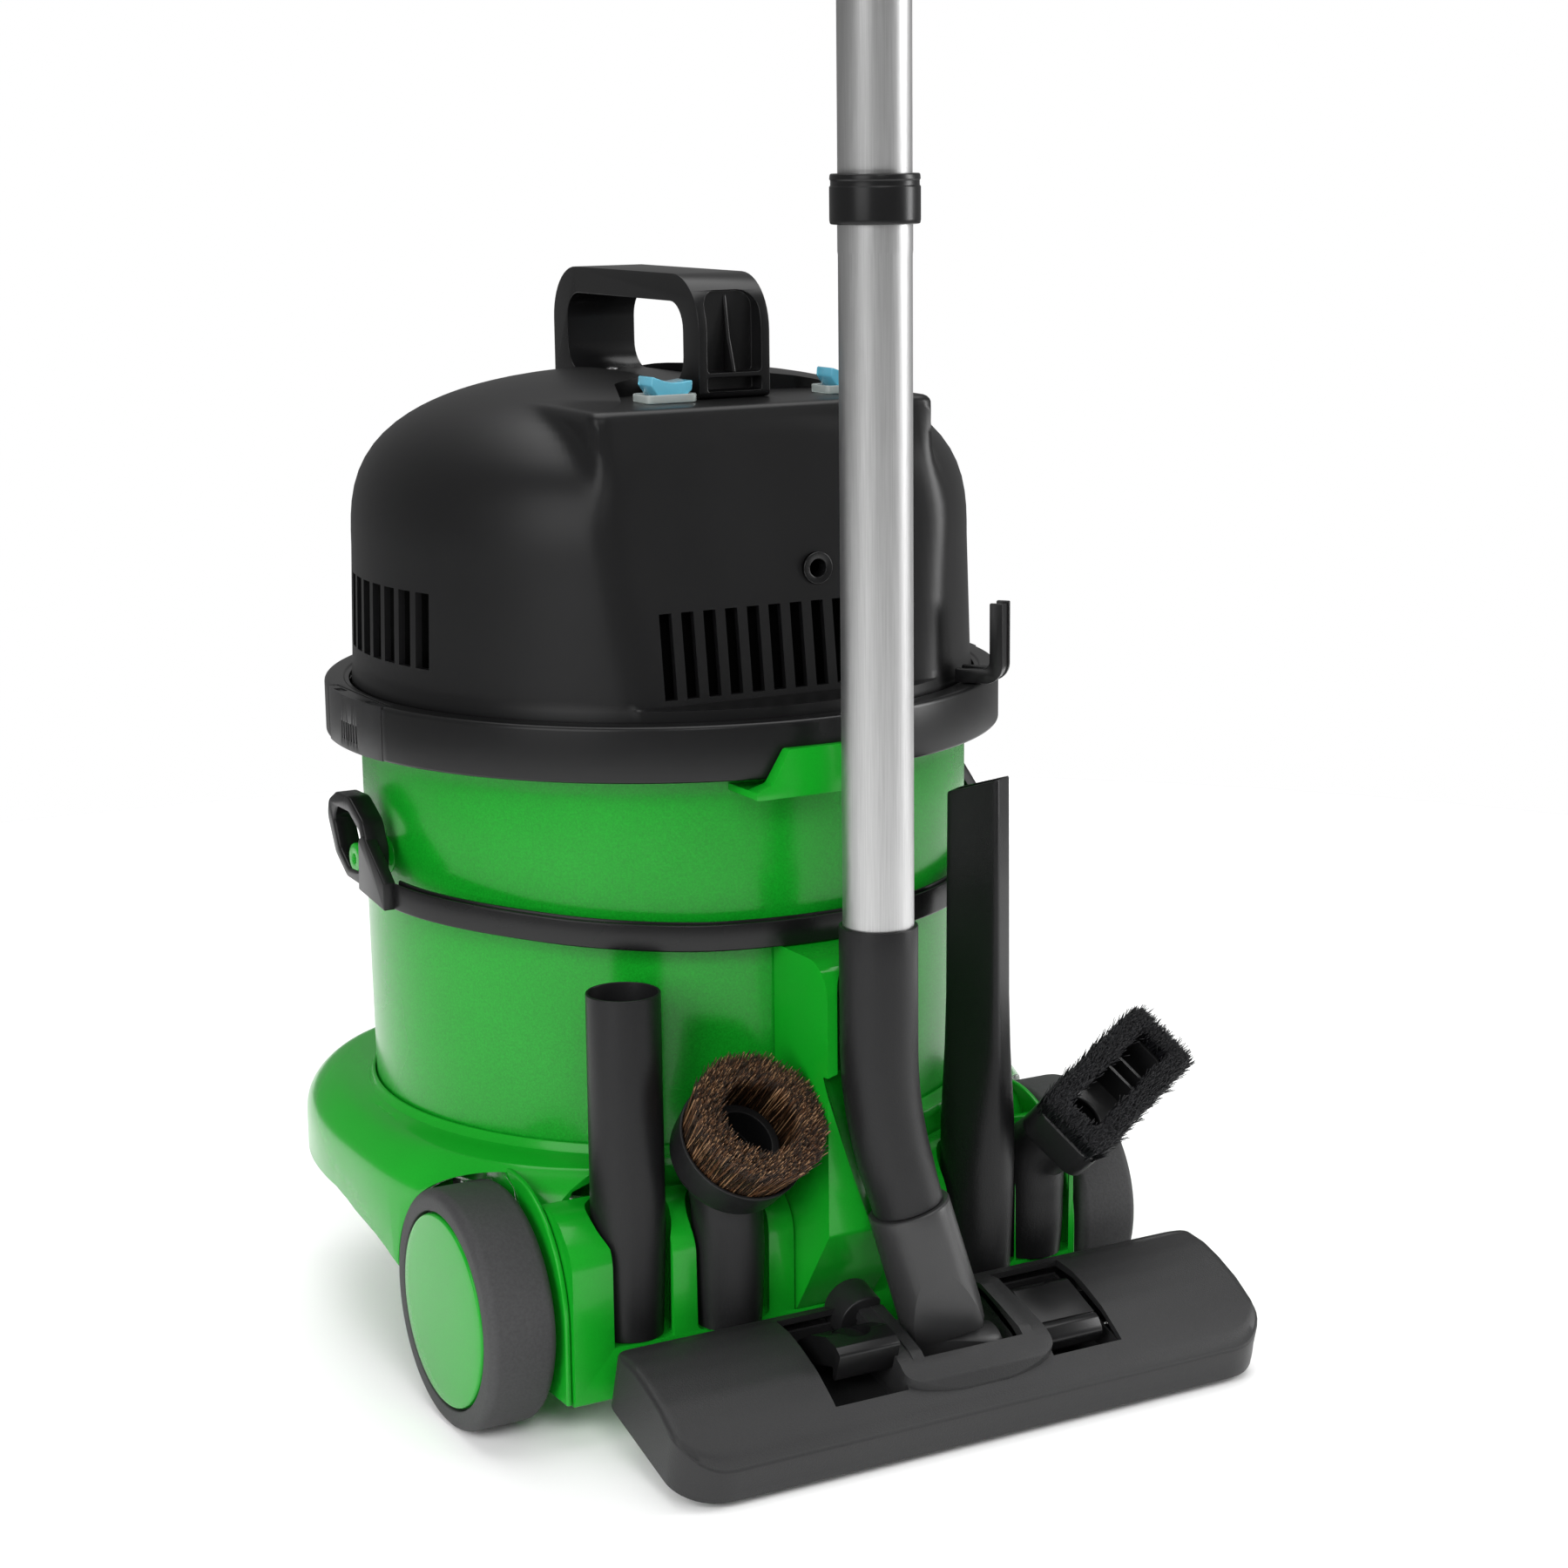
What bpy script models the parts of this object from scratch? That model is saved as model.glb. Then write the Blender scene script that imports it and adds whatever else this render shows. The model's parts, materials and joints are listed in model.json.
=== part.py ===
"""Drum vacuum cleaner, seen from its back: drum on a wheeled base, motor head, parked wand,
floor head and four hand tools. Metres, +Z up, front (hose inlet) towards -Y, back towards +Y.

All places below are measured from the drum's own axis, on the floor. One empty, `machine`,
carries that frame, so that the whole object stands centred on the world's origin.
"""
import math

import bmesh
import bpy
from mathutils import Matrix, Vector

# ---------------------------------------------------------------- driving dimensions
GAP = 0.0003                      # clearance between touching neighbours
ROUND = 40                        # facets around the drum-sized pieces
FINE = 16                         # facets around tubes and wheels
COARSE = 12                       # facets around pins and small bores

AXIS_FROM_MIDDLE = (0.0075, -0.0346, 0.0)   # drum axis, from the middle of the footprint

# base
SKIRT_HALF_WIDTH = 0.1735
SKIRT_FRONT = 0.178
SKIRT_BACK = 0.160
SKIRT_SQUARENESS = 2.6
SKIRT_WALL = 0.003
SKIRT_BOTTOM = 0.0205
DECK_Z = 0.1178
COLLAR_Z = 0.1230
WELL_Z = 0.0985                   # floor that the drum stands on
WELL_WALL = 0.1520                # outer radius of the well's wall

# drum
DRUM_BASE_Z = 0.0990
DRUM_TOP_Z = 0.2960
DRUM_BASE_R = 0.1470
DRUM_TOP_R = 0.1484
DRUM_WALL = 0.0032
RIM_R = 0.1520

# wheels
WHEEL_Y = 0.1090
WHEEL_Z = 0.0555
TYRE_R = 0.0555
RIM_OF_TYRE_R = 0.0457
TYRE_INNER_X = 0.1400
TYRE_OUTER_X = 0.1725
CAP_OUTER_X = 0.1735
ARCH_R = 0.0585
ARCH_X = 0.1365
AXLE_R = 0.0050

# front castors
CASTOR_X = 0.0850
CASTOR_Y = -0.1000
CASTOR_TRAIL = 0.0120
CASTOR_WHEEL_R = 0.0185
CASTOR_WHEEL_HALF = 0.0070

# head
RING_R = 0.1650
RING_LOW = 0.2955
RING_TOP = 0.3212
DOME_R = 0.1495
DOME_SPRING_Z = 0.3850
DOME_TOP_Z = 0.4670
DOME_WALL = 0.0030
BLOCK_HALF_WIDTH = 0.0880
BLOCK_TOP_Z = 0.4570
BACK_Y = 0.1280                   # flat back of the head, at BACK_Z
BACK_Z = 0.3450
BACK_SLOPE = 0.13
LEDGE_Z = 0.3262
LATCH_HALF = 0.0330

# carrying handle
HANDLE_FRONT = -0.0770
HANDLE_BACK = 0.0800
HANDLE_TOP = 0.5137
HANDLE_HALF = 0.0185
HANDLE_FOOT = BLOCK_TOP_Z + GAP

SWITCH_TURN = math.radians(6.5)   # a switch at rest, to one side

# bail strap
BAIL_PIVOT = (0.0, 0.2435)        # y, z
BAIL_IN = 0.1545
BAIL_OUT = 0.1595
BAIL_LOW = 0.2185
BAIL_TOP = 0.2295
BOSS_R = 0.0072

# wand
WAND_Y = 0.2070
TUBE_R = 0.0158
TUBE_BORE = 0.0148
SLEEVE_R = 0.0175
SLEEVE_TOP = 0.2350
ELBOW_BEND_Z = 0.1500
COLLAR_LOW = 0.5386
COLLAR_TOP = 0.5595
COLLAR_R = 0.0193
WAND_TOP = 0.9600
LOWER_TUBE_END = 0.1725

# floor head
HEAD_X = -0.0320
HEAD_HALF = 0.1545
HEAD_DEPTH = 0.0830
HEAD_TILT = math.radians(16)
TILT_Y = 0.2185
TILT_Z = 0.0300
TRUNNION_BACK = 0.0397            # behind the head's front edge
TRUNNION_UP = 0.0167              # above its sole
PEDAL_X = 0.0530
NECK_SLOT = 0.0265
ROLLER_X = 0.1230
ROLLER_BACK = 0.0680
STRIPS = {"front": 0.0130, "back": 0.0545}

# hand tools: centre of the spigot each stands on
TOOLS = {
    "adaptor": (0.0985, 0.1510),
    "dusting": (0.0530, 0.1610),
    "crevice": (-0.0810, 0.1615),
    "upholstery": (-0.1155, 0.1540),
}
TOOL_R = 0.0160
TOOL_BORE = 0.0135
SPIGOT_R = 0.0128
SHELF_Z = 0.0450
SPIGOT_TOP = 0.0750

# colours
GREEN = (0.010, 0.290, 0.022)
BLACK = (0.012, 0.012, 0.013)
DARK = (0.030, 0.030, 0.032)
RUBBER = (0.035, 0.034, 0.036)
STEEL = (0.55, 0.56, 0.57)
BLUE = (0.16, 0.56, 0.74)
HAIR = (0.16, 0.085, 0.045)
WHITE = (0.72, 0.72, 0.70)


# ---------------------------------------------------------------- making objects
def clear_scene():
    for item in list(bpy.data.objects):
        bpy.data.objects.remove(item, do_unlink=True)


def material(name, colour, roughness, metallic=0.0):
    made = bpy.data.materials.new(name)
    made.use_nodes = True
    shader = made.node_tree.nodes["Principled BSDF"]
    shader.inputs["Base Color"].default_value = (*colour, 1.0)
    shader.inputs["Roughness"].default_value = roughness
    shader.inputs["Metallic"].default_value = metallic
    return made


def finish_mesh(shape, name):
    bmesh.ops.recalc_face_normals(shape, faces=shape.faces)
    if shape.calc_volume(signed=True) < 0:
        bmesh.ops.reverse_faces(shape, faces=shape.faces)
    mesh = bpy.data.meshes.new(name)
    shape.to_mesh(mesh)
    shape.free()
    mesh.shade_smooth()
    mesh.set_sharp_from_angle(angle=math.radians(35))
    return mesh


def add(name, shape, finish, pivot=(0.0, 0.0, 0.0), parent="machine"):
    """Object from a body drawn in the drum's frame, with its origin on pivot."""
    shift = Matrix.Translation(-Vector(pivot))
    bmesh.ops.transform(shape, matrix=shift, verts=shape.verts)
    piece = bpy.data.objects.new(name, finish_mesh(shape, name))
    piece.location = pivot
    piece.parent = bpy.data.objects[parent]
    piece.data.materials.append(finish)
    bpy.context.collection.objects.link(piece)
    return piece


def combine(target, shape, operation):
    """Boolean of a body drawn in the drum's frame with an object."""
    helper = bpy.data.objects.new(f"{target.name}_{operation.lower()}_{len(target.modifiers)}",
                                  finish_mesh(shape, target.name))
    helper.parent = bpy.data.objects["machine"]
    helper.hide_render = True
    helper.display_type = "WIRE"
    bpy.context.collection.objects.link(helper)
    step = target.modifiers.new(operation.title(), "BOOLEAN")
    step.operation = operation
    step.object = helper


def cut(target, shape):
    combine(target, shape, "DIFFERENCE")


def join(target, shape):
    combine(target, shape, "UNION")


# ---------------------------------------------------------------- making shapes
def loft(rings, closed=False):
    """Body through rings of points. A ring of one point is a pole."""
    shape = bmesh.new()
    rows = [[shape.verts.new(point) for point in ring] for ring in rings]
    pairs = list(zip(rows, rows[1:]))
    if closed:
        pairs.append((rows[-1], rows[0]))
    for low, high in pairs:
        count = max(len(low), len(high))
        for i in range(count):
            j = (i + 1) % count
            corners = []
            for corner in (low[i % len(low)], low[j % len(low)], high[j % len(high)], high[i % len(high)]):
                if corner not in corners:
                    corners.append(corner)
            shape.faces.new(corners)
    if not closed:
        for row in (rows[0], rows[-1]):
            if len(row) > 2:
                shape.faces.new(row)
    return shape


def turned(outline, facets=FINE, origin=(0.0, 0.0, 0.0), axis="Z"):
    """Turned body. outline is a loop of (radius, distance along the axis)."""
    turn = {
        "X": Matrix.Rotation(math.radians(90), 4, "Y"),
        "Y": Matrix.Rotation(math.radians(-90), 4, "X"),
        "Z": Matrix.Identity(4),
    }[axis] if isinstance(axis, str) else Vector((0, 0, 1)).rotation_difference(axis).to_matrix().to_4x4()
    place = Matrix.Translation(origin) @ turn
    rings = []
    for radius, along in outline:
        steps = 1 if radius < 1e-6 else facets
        angles = [math.tau * k / steps for k in range(steps)]
        rings.append([place @ Vector((radius * math.cos(a), radius * math.sin(a), along)) for a in angles])
    on_axis = outline[0][0] < 1e-6 and outline[-1][0] < 1e-6
    return loft(rings, closed=not on_axis)


def rod(radius, start, end, facets=COARSE):
    """Plain cylinder between two points."""
    start, end = Vector(start), Vector(end)
    along = end - start
    outline = [(0, 0), (radius, 0), (radius, along.length), (0, along.length)]
    return turned(outline, facets, start, along.normalized())


def prism(outline, axis, low, high):
    """Outline of (a, b) points extruded along an axis: X takes (y, z), Y takes (x, z), Z takes (x, y)."""
    place = {
        "X": lambda a, b, t: (t, a, b),
        "Y": lambda a, b, t: (a, t, b),
        "Z": lambda a, b, t: (a, b, t),
    }[axis]
    return loft([[place(a, b, t) for a, b in outline] for t in (low, high)])


def box(low, high):
    outline = [(low[0], low[1]), (high[0], low[1]), (high[0], high[1]), (low[0], high[1])]
    return prism(outline, "Z", low[2], high[2])


def merged(shapes):
    """Several bodies that don't touch, in one mesh, for one cut."""
    whole = bmesh.new()
    for shape in shapes:
        spare = bpy.data.meshes.new("spare")
        bmesh.ops.recalc_face_normals(shape, faces=shape.faces)
        if shape.calc_volume(signed=True) < 0:
            bmesh.ops.reverse_faces(shape, faces=shape.faces)
        shape.to_mesh(spare)
        shape.free()
        whole.from_mesh(spare)
        bpy.data.meshes.remove(spare)
    return whole


def rounded(low, high, radius, steps=4):
    """Rectangle with round corners, as (a, b) points."""
    points = []
    for k, (a, b) in enumerate(((high[0], high[1]), (low[0], high[1]), (low[0], low[1]), (high[0], low[1]))):
        inward = ((-1, -1), (1, -1), (1, 1), (-1, 1))[k]
        middle = (a + inward[0] * radius, b + inward[1] * radius)
        for step in range(steps + 1):
            angle = math.radians(90 * (k + step / steps))
            points.append((middle[0] + radius * math.cos(angle), middle[1] + radius * math.sin(angle)))
    return points


def ellipse(centre, half_a, half_b, facets=FINE):
    angles = [math.tau * k / facets for k in range(facets)]
    return [(centre[0] + half_a * math.cos(t), centre[1] + half_b * math.sin(t)) for t in angles]


def pipe(path, outer, inner, facets=FINE):
    """Hollow tube with open ends along a path, with a radius pair at each point."""
    path = [Vector(point) for point in path]
    frames = []
    for i, point in enumerate(path):
        along = (path[min(i + 1, len(path) - 1)] - path[max(i - 1, 0)]).normalized()
        side = Vector((0, 1, 0)).cross(along).normalized()
        frames.append((point, side, along.cross(side)))

    def ring(frame, radius):
        point, side, up = frame
        return [point + radius * (math.cos(math.tau * k / facets) * side
                                  + math.sin(math.tau * k / facets) * up)
                for k in range(facets)]

    outside = [ring(frame, radius) for frame, radius in zip(frames, outer)]
    inside = [ring(frame, radius) for frame, radius in zip(frames, inner)]
    return loft(outside + inside[::-1], closed=True)


def polar(rings, facets):
    """Body from rings given as (radius of angle, height); a radius of 0 is a pole."""
    rows = []
    for radius, height in rings:
        if radius == 0:
            rows.append([(0.0, 0.0, height)])
            continue
        row = []
        for k in range(facets):
            angle = math.tau * (k + 0.5) / facets
            reach = radius(angle) if callable(radius) else radius
            row.append((reach * math.cos(angle), reach * math.sin(angle), height))
        rows.append(row)
    on_axis = rings[0][0] == 0 and rings[-1][0] == 0
    return loft(rows, closed=not on_axis)


def both_sides():
    return (("left", 1), ("right", -1))


# ---------------------------------------------------------------- base
def skirt(inset=0.0, share=1.0):
    """Radius of the skirt's outline at an angle."""
    def reach(angle):
        depth = SKIRT_BACK if math.sin(angle) > 0 else SKIRT_FRONT
        across = abs(math.cos(angle) / SKIRT_HALF_WIDTH) ** SKIRT_SQUARENESS
        along = abs(math.sin(angle) / depth) ** SKIRT_SQUARENESS
        full = (across + along) ** (-1 / SKIRT_SQUARENESS)
        return max(full * share - inset, WELL_WALL + 0.0006 - inset * 0.2)
    return reach


def make_base(green):
    chassis = add("chassis", polar([
        (0, WELL_Z - 0.0035),
        (WELL_WALL - 0.004, WELL_Z - 0.0035),
        (WELL_WALL, WELL_Z),
        (WELL_WALL + 0.0003, DECK_Z - 0.0030),
        (skirt(SKIRT_WALL, 0.93), DECK_Z - 0.0050),
        (skirt(SKIRT_WALL), 0.0980),
        (skirt(SKIRT_WALL), 0.0600),
        (skirt(SKIRT_WALL, 0.955), SKIRT_BOTTOM),
        (skirt(0.0, 0.955), SKIRT_BOTTOM),
        (skirt(), 0.0600),
        (skirt(), 0.0980),
        (skirt(0.0, 0.975), 0.1100),
        (skirt(0.0, 0.925), DECK_Z - 0.0012),
        (WELL_WALL + 0.0008, DECK_Z),
        (0.1498, DECK_Z + 0.0020),
        (0.1494, COLLAR_Z),
        (0.1477, COLLAR_Z),
        (0.1475, WELL_Z + 0.006),
        (0.1420, WELL_Z),
        (0, WELL_Z),
    ], ROUND), green)
    low_edge = [(-0.2500, 0.0), (-0.2500, 0.0760), (-0.0200, 0.0760), (0.0060, 0.0715), (0.0290, 0.0670),
                (0.0456, 0.0600), (0.0600, 0.0515), (0.0680, 0.0420), (0.0740, 0.0300), (0.0775, 0.0)]
    cut(chassis, prism(low_edge, "X", -0.2, 0.2))
    inside = ARCH_X - 0.0028
    cut(chassis, box((-inside, 0.0600, 0.0), (inside, 0.2000, 0.0938)))
    edge_y = 0.1290
    start = math.degrees(math.acos(edge_y / (WELL_WALL + 0.0008)))
    arc = [math.radians(90 + start * (1 - 2 * k / 12)) for k in range(13)]
    rim = [((WELL_WALL + 0.0008) * math.cos(a), (WELL_WALL + 0.0008) * math.sin(a)) for a in arc]
    cut(chassis, prism([(-inside, edge_y), *rim, (inside, edge_y), (inside, 0.2000), (-inside, 0.2000)],
                       "Z", 0.0937, 0.1300))
    cheek = [(WHEEL_Y + 0.054 * math.cos(a), WHEEL_Z + 0.0598 * math.sin(a))
             for a in (math.radians(15 * k) for k in range(7))]
    for side, sign in both_sides():
        liner = prism([(0.0760, SKIRT_BOTTOM), (0.1630, SKIRT_BOTTOM), *cheek, (0.0780, 0.1153),
                       (0.0780, 0.0940),
                       (0.0480, 0.0940), (0.0480, 0.0600)],
                      "X", *sorted((sign * inside, sign * ARCH_X)))
        join(chassis, liner)
        boss = rod(0.0110, (sign * 0.1190, WHEEL_Y, WHEEL_Z), (sign * (ARCH_X - 0.0010), WHEEL_Y, WHEEL_Z))
        join(chassis, boss)
        arch = rod(ARCH_R, (sign * ARCH_X, WHEEL_Y, WHEEL_Z), (sign * 0.21, WHEEL_Y, WHEEL_Z), 32)
        cut(chassis, arch)
        low, high = sorted((sign * ARCH_X, sign * 0.21))
        cut(chassis, box((low, WHEEL_Y + 0.0080, 0.0), (high, 0.2000, 0.1300)))
        bore = rod(AXLE_R + GAP, (sign * 0.1210, WHEEL_Y, WHEEL_Z), (sign * 0.20, WHEEL_Y, WHEEL_Z))
        cut(chassis, bore)
        socket = rod(0.0105, (sign * CASTOR_X, CASTOR_Y, 0.0500), (sign * CASTOR_X, CASTOR_Y, WELL_Z - 0.002))
        join(chassis, socket)
        stem_bore = rod(0.0048, (sign * CASTOR_X, CASTOR_Y, 0.0400), (sign * CASTOR_X, CASTOR_Y, 0.0800))
        cut(chassis, stem_bore)
    back_wall = box((-ARCH_X + 0.001, 0.1262, SKIRT_BOTTOM), (ARCH_X - 0.001, 0.1290, 0.0960))
    join(chassis, back_wall)
    return chassis


def make_caddy(green):
    """Rear tool caddy: wall with round bays, shelf, and a spigot in each bay."""
    wall = [(-0.1333, 0.1293), (0.1333, 0.1293), (0.1333, 0.1490), (0.1300, 0.1580), (0.1220, 0.1655),
            (-0.1220, 0.1655), (-0.1300, 0.1580), (-0.1333, 0.1490)]
    caddy = add("tool_caddy", prism(wall, "Z", SKIRT_BOTTOM, 0.1050), green)
    cut(caddy, turned([(0, 0.0940), (WELL_WALL + 0.0012, 0.0940), (WELL_WALL + 0.0012, 0.13), (0, 0.13)],
                      ROUND))
    for x, y in TOOLS.values():
        cut(caddy, rod(TOOL_R + 0.0030, (x, y, SHELF_Z), (x, y, 0.13), FINE))
    cut(caddy, box((-0.0212, 0.10, SHELF_Z), (0.0212, 0.20, 0.13)))
    for x, y in TOOLS.values():
        join(caddy, turned([(0, SHELF_Z - 0.004), (SPIGOT_R, SHELF_Z - 0.004), (SPIGOT_R, SPIGOT_TOP - 0.002),
                            (SPIGOT_R - 0.002, SPIGOT_TOP), (0, SPIGOT_TOP)], COARSE, (x, y, 0)))


def make_dock(green):
    """Column that the wand's elbow leans into, with a round groove down its back."""
    side = [(0.1498, 0.1256), (0.1560, 0.1256), (0.1560, SHELF_Z + GAP), (0.1640, SHELF_Z + GAP),
            (0.1970, 0.0900), (0.1970, 0.2060), (0.1930, 0.2130), (0.1850, 0.2160), (0.1498, 0.2160)]
    dock = add("wand_dock", prism(side, "X", -0.0205, 0.0205), green)
    cut(dock, rod(DRUM_TOP_R + 0.0006, (0, 0, 0.12), (0, 0, 0.23), ROUND * 2))
    cut(dock, rod(SLEEVE_R + 0.0010, (0, WAND_Y, ELBOW_BEND_Z), (0, WAND_Y, 0.23), FINE))
    bend = Vector((0, WAND_Y, ELBOW_BEND_Z))
    cut(dock, rod(SLEEVE_R + 0.0030, bend - neck_direction() * 0.02, bend + neck_direction() * 0.13, FINE))


def make_wheels(green, rubber, dark, steel):
    for side, sign in both_sides():
        centre = (0.0, WHEEL_Y, WHEEL_Z)
        hub_pivot = (sign * 0.155, WHEEL_Y, WHEEL_Z)
        add(f"axle_pin_{side}", rod(AXLE_R, (sign * 0.1215, WHEEL_Y, WHEEL_Z),
                                    (sign * 0.1680, WHEEL_Y, WHEEL_Z)), steel, hub_pivot)
        tread = [(TYRE_R - 0.003, sign * TYRE_INNER_X), (TYRE_R, sign * (TYRE_INNER_X + 0.005)),
                 (TYRE_R, sign * (TYRE_OUTER_X - 0.005)), (TYRE_R - 0.003, sign * (TYRE_OUTER_X - 0.001)),
                 (TYRE_R - 0.006, sign * TYRE_OUTER_X), (RIM_OF_TYRE_R, sign * TYRE_OUTER_X),
                 (RIM_OF_TYRE_R, sign * TYRE_INNER_X)]
        add(f"tyre_{side}", turned(tread, ROUND, centre, "X"), rubber, hub_pivot)
        hub = [(AXLE_R + 0.0002, sign * (TYRE_INNER_X + 0.001)), (0.0110, sign * (TYRE_INNER_X + 0.001)),
               (0.0110, sign * 0.1600), (0.0390, sign * 0.1600), (0.0400, sign * (TYRE_INNER_X + 0.001)),
               (RIM_OF_TYRE_R - GAP, sign * (TYRE_INNER_X + 0.001)), (RIM_OF_TYRE_R - GAP, sign * 0.1690),
               (AXLE_R + 0.0002, sign * 0.1690)]
        add(f"wheel_hub_{side}", turned(hub, FINE, centre, "X"), dark, hub_pivot)
        cap = [(0, sign * (0.1690 + GAP)), (RIM_OF_TYRE_R - GAP, sign * (0.1690 + GAP)),
               (RIM_OF_TYRE_R - GAP, sign * (CAP_OUTER_X - 0.0012)), (0.0430, sign * CAP_OUTER_X),
               (0, sign * (CAP_OUTER_X - 0.0008))]
        add(f"hub_cap_{side}", turned(cap, ROUND, centre, "X"), green, hub_pivot)


def make_castors(black, dark):
    for side, sign in both_sides():
        x = sign * CASTOR_X
        wheel = (x, CASTOR_Y + CASTOR_TRAIL, CASTOR_WHEEL_R)
        yoke = add(f"castor_fork_{side}",
                   turned([(0, 0.0400), (0.0150, 0.0400), (0.0150, 0.0440), (0.0060, 0.0490),
                           (0.0045, 0.0490),
                           (0.0045, 0.0780), (0, 0.0780)], COARSE, (x, CASTOR_Y, 0)), black,
                   (x, CASTOR_Y, 0.045))
        for arm in (-1, 1):
            inner, outer = x + arm * 0.0076, x + arm * 0.0104
            cheek = prism([(CASTOR_Y - 0.008, 0.0410), (wheel[1] - 0.006, 0.0140), (wheel[1] + 0.006, 0.0140),
                           (CASTOR_Y + 0.0135, 0.0410)], "X", min(inner, outer), max(inner, outer))
            join(yoke, cheek)
            join(yoke, box((min(inner, outer), CASTOR_Y - 0.008, 0.0405),
                           (max(inner, outer), CASTOR_Y + 0.011, 0.0430)))
        join(yoke, rod(0.0019, (x - 0.0100, wheel[1], wheel[2]), (x + 0.0100, wheel[1], wheel[2])))
        rim = [(0.0023, -CASTOR_WHEEL_HALF), (CASTOR_WHEEL_R - 0.002, -CASTOR_WHEEL_HALF),
               (CASTOR_WHEEL_R, -CASTOR_WHEEL_HALF + 0.002), (CASTOR_WHEEL_R, CASTOR_WHEEL_HALF - 0.002),
               (CASTOR_WHEEL_R - 0.002, CASTOR_WHEEL_HALF), (0.0023, CASTOR_WHEEL_HALF)]
        add(f"castor_wheel_{side}", turned(rim, FINE, wheel, "X"), dark, wheel)


# ---------------------------------------------------------------- drum
def make_drum(green, black, dark):
    inside = DRUM_TOP_R - DRUM_WALL
    drum = add("drum", turned([
        (0, DRUM_BASE_Z), (0.1405, DRUM_BASE_Z), (0.1460, 0.1050), (DRUM_BASE_R, 0.1230), (0.1479, 0.2000),
        (DRUM_TOP_R, 0.2850), (DRUM_TOP_R, DRUM_TOP_Z), (RIM_R, DRUM_TOP_Z), (RIM_R, DRUM_TOP_Z + 0.003),
        (inside, DRUM_TOP_Z + 0.003), (inside - 0.001, 0.2000), (DRUM_BASE_R - DRUM_WALL, 0.1080),
        (0.1380, DRUM_BASE_Z + DRUM_WALL), (0, DRUM_BASE_Z + DRUM_WALL),
    ], ROUND), green)
    cut(drum, rod(0.0247, (0, -0.20, 0.2350), (0, -0.10, 0.2350), FINE))
    add("hose_inlet", turned([
        (0.0175, -0.1350), (0.0243, -0.1350), (0.0243, -0.1488), (0.0300, -0.1488), (0.0300, -0.1530),
        (0.0225, -0.1560), (0.0215, -0.1860), (0.0175, -0.1860),
    ], FINE, (0, 0, 0.2350), "Y"), black)
    lip = add("pour_lip", prism([(-0.0250, 0.2880), (0.0400, 0.2880), (0.0400, 0.2915), (0.0320, 0.2950),
                                 (0.0215, 0.3095), (-0.0150, 0.3095), (-0.0250, 0.2950)], "Y", 0.1400,
                                0.1705), green)
    cut(lip, rod(0.1490, (0, 0, 0.28), (0, 0, 0.2915), ROUND * 2))
    cut(lip, rod(0.1666, (0, 0, 0.2915), (0, 0, 0.32), ROUND * 2))
    y, z = BAIL_PIVOT
    for side, sign in both_sides():
        add(f"bail_boss_{side}", turned([
            (0, sign * (DRUM_TOP_R - 0.0001)), (BOSS_R, sign * (DRUM_TOP_R - 0.0001)),
            (BOSS_R, sign * 0.1608), (BOSS_R - 0.001, sign * 0.1618), (0, sign * 0.1618),
        ], COARSE, (0, y, z), "X"), green)


def make_bail(black):
    y, z = BAIL_PIVOT
    span = range(0, 33)
    angles = [math.radians(8 + 164 * k / 32) for k in span]
    section = ((BAIL_IN, BAIL_LOW), (BAIL_OUT, BAIL_LOW), (BAIL_OUT, BAIL_TOP), (BAIL_IN, BAIL_TOP))
    strap = loft([[(r * math.cos(a), r * math.sin(a), h) for r, h in section] for a in angles])
    bail = add("bail_strap", strap, black, (0, y, z))
    for side, sign in both_sides():
        low, high = sorted((sign * 0.1548, sign * 0.1602))
        join(bail, prism([(0.0040, 0.2310), (0.0130, 0.2183), (0.0330, 0.2183), (0.0330, 0.2297),
                          (0.0190, 0.2400),
                          (0.0120, 0.2370)], "X", low, high))
        join(bail, prism(ellipse((-0.0040, 0.2515), 0.0245, 0.0225), "X", low - 0.0001, high + 0.0001))
        cut(bail, prism(ellipse((-0.0040, 0.2515), 0.0185, 0.0165), "X", low - 0.01, high + 0.01))


# ---------------------------------------------------------------- head
def dome_radius(share):
    """Dome profile from the top of its straight wall (0) to its crown (1): radius, height."""
    turn = math.radians(90) * share
    height = DOME_SPRING_Z + (DOME_TOP_Z - DOME_SPRING_Z) * math.sin(turn) ** (2 / 3)
    return DOME_R * math.cos(turn) ** 0.8, height


def back_at(height):
    return BACK_Y + (BACK_Z - height) * BACK_SLOPE


def head_outline(radius, height, inset=0.0):
    """Plan outline of the head: a circle with the square back block, cut by the flat back."""
    def reach(angle):
        if math.sin(angle) <= 0:
            return radius - inset
        flat = (back_at(height) - inset) / math.sin(angle)
        block = (BLOCK_HALF_WIDTH - inset) / max(abs(math.cos(angle)), 1e-6)
        return min(flat, max(radius - inset, block))
    return reach


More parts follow.
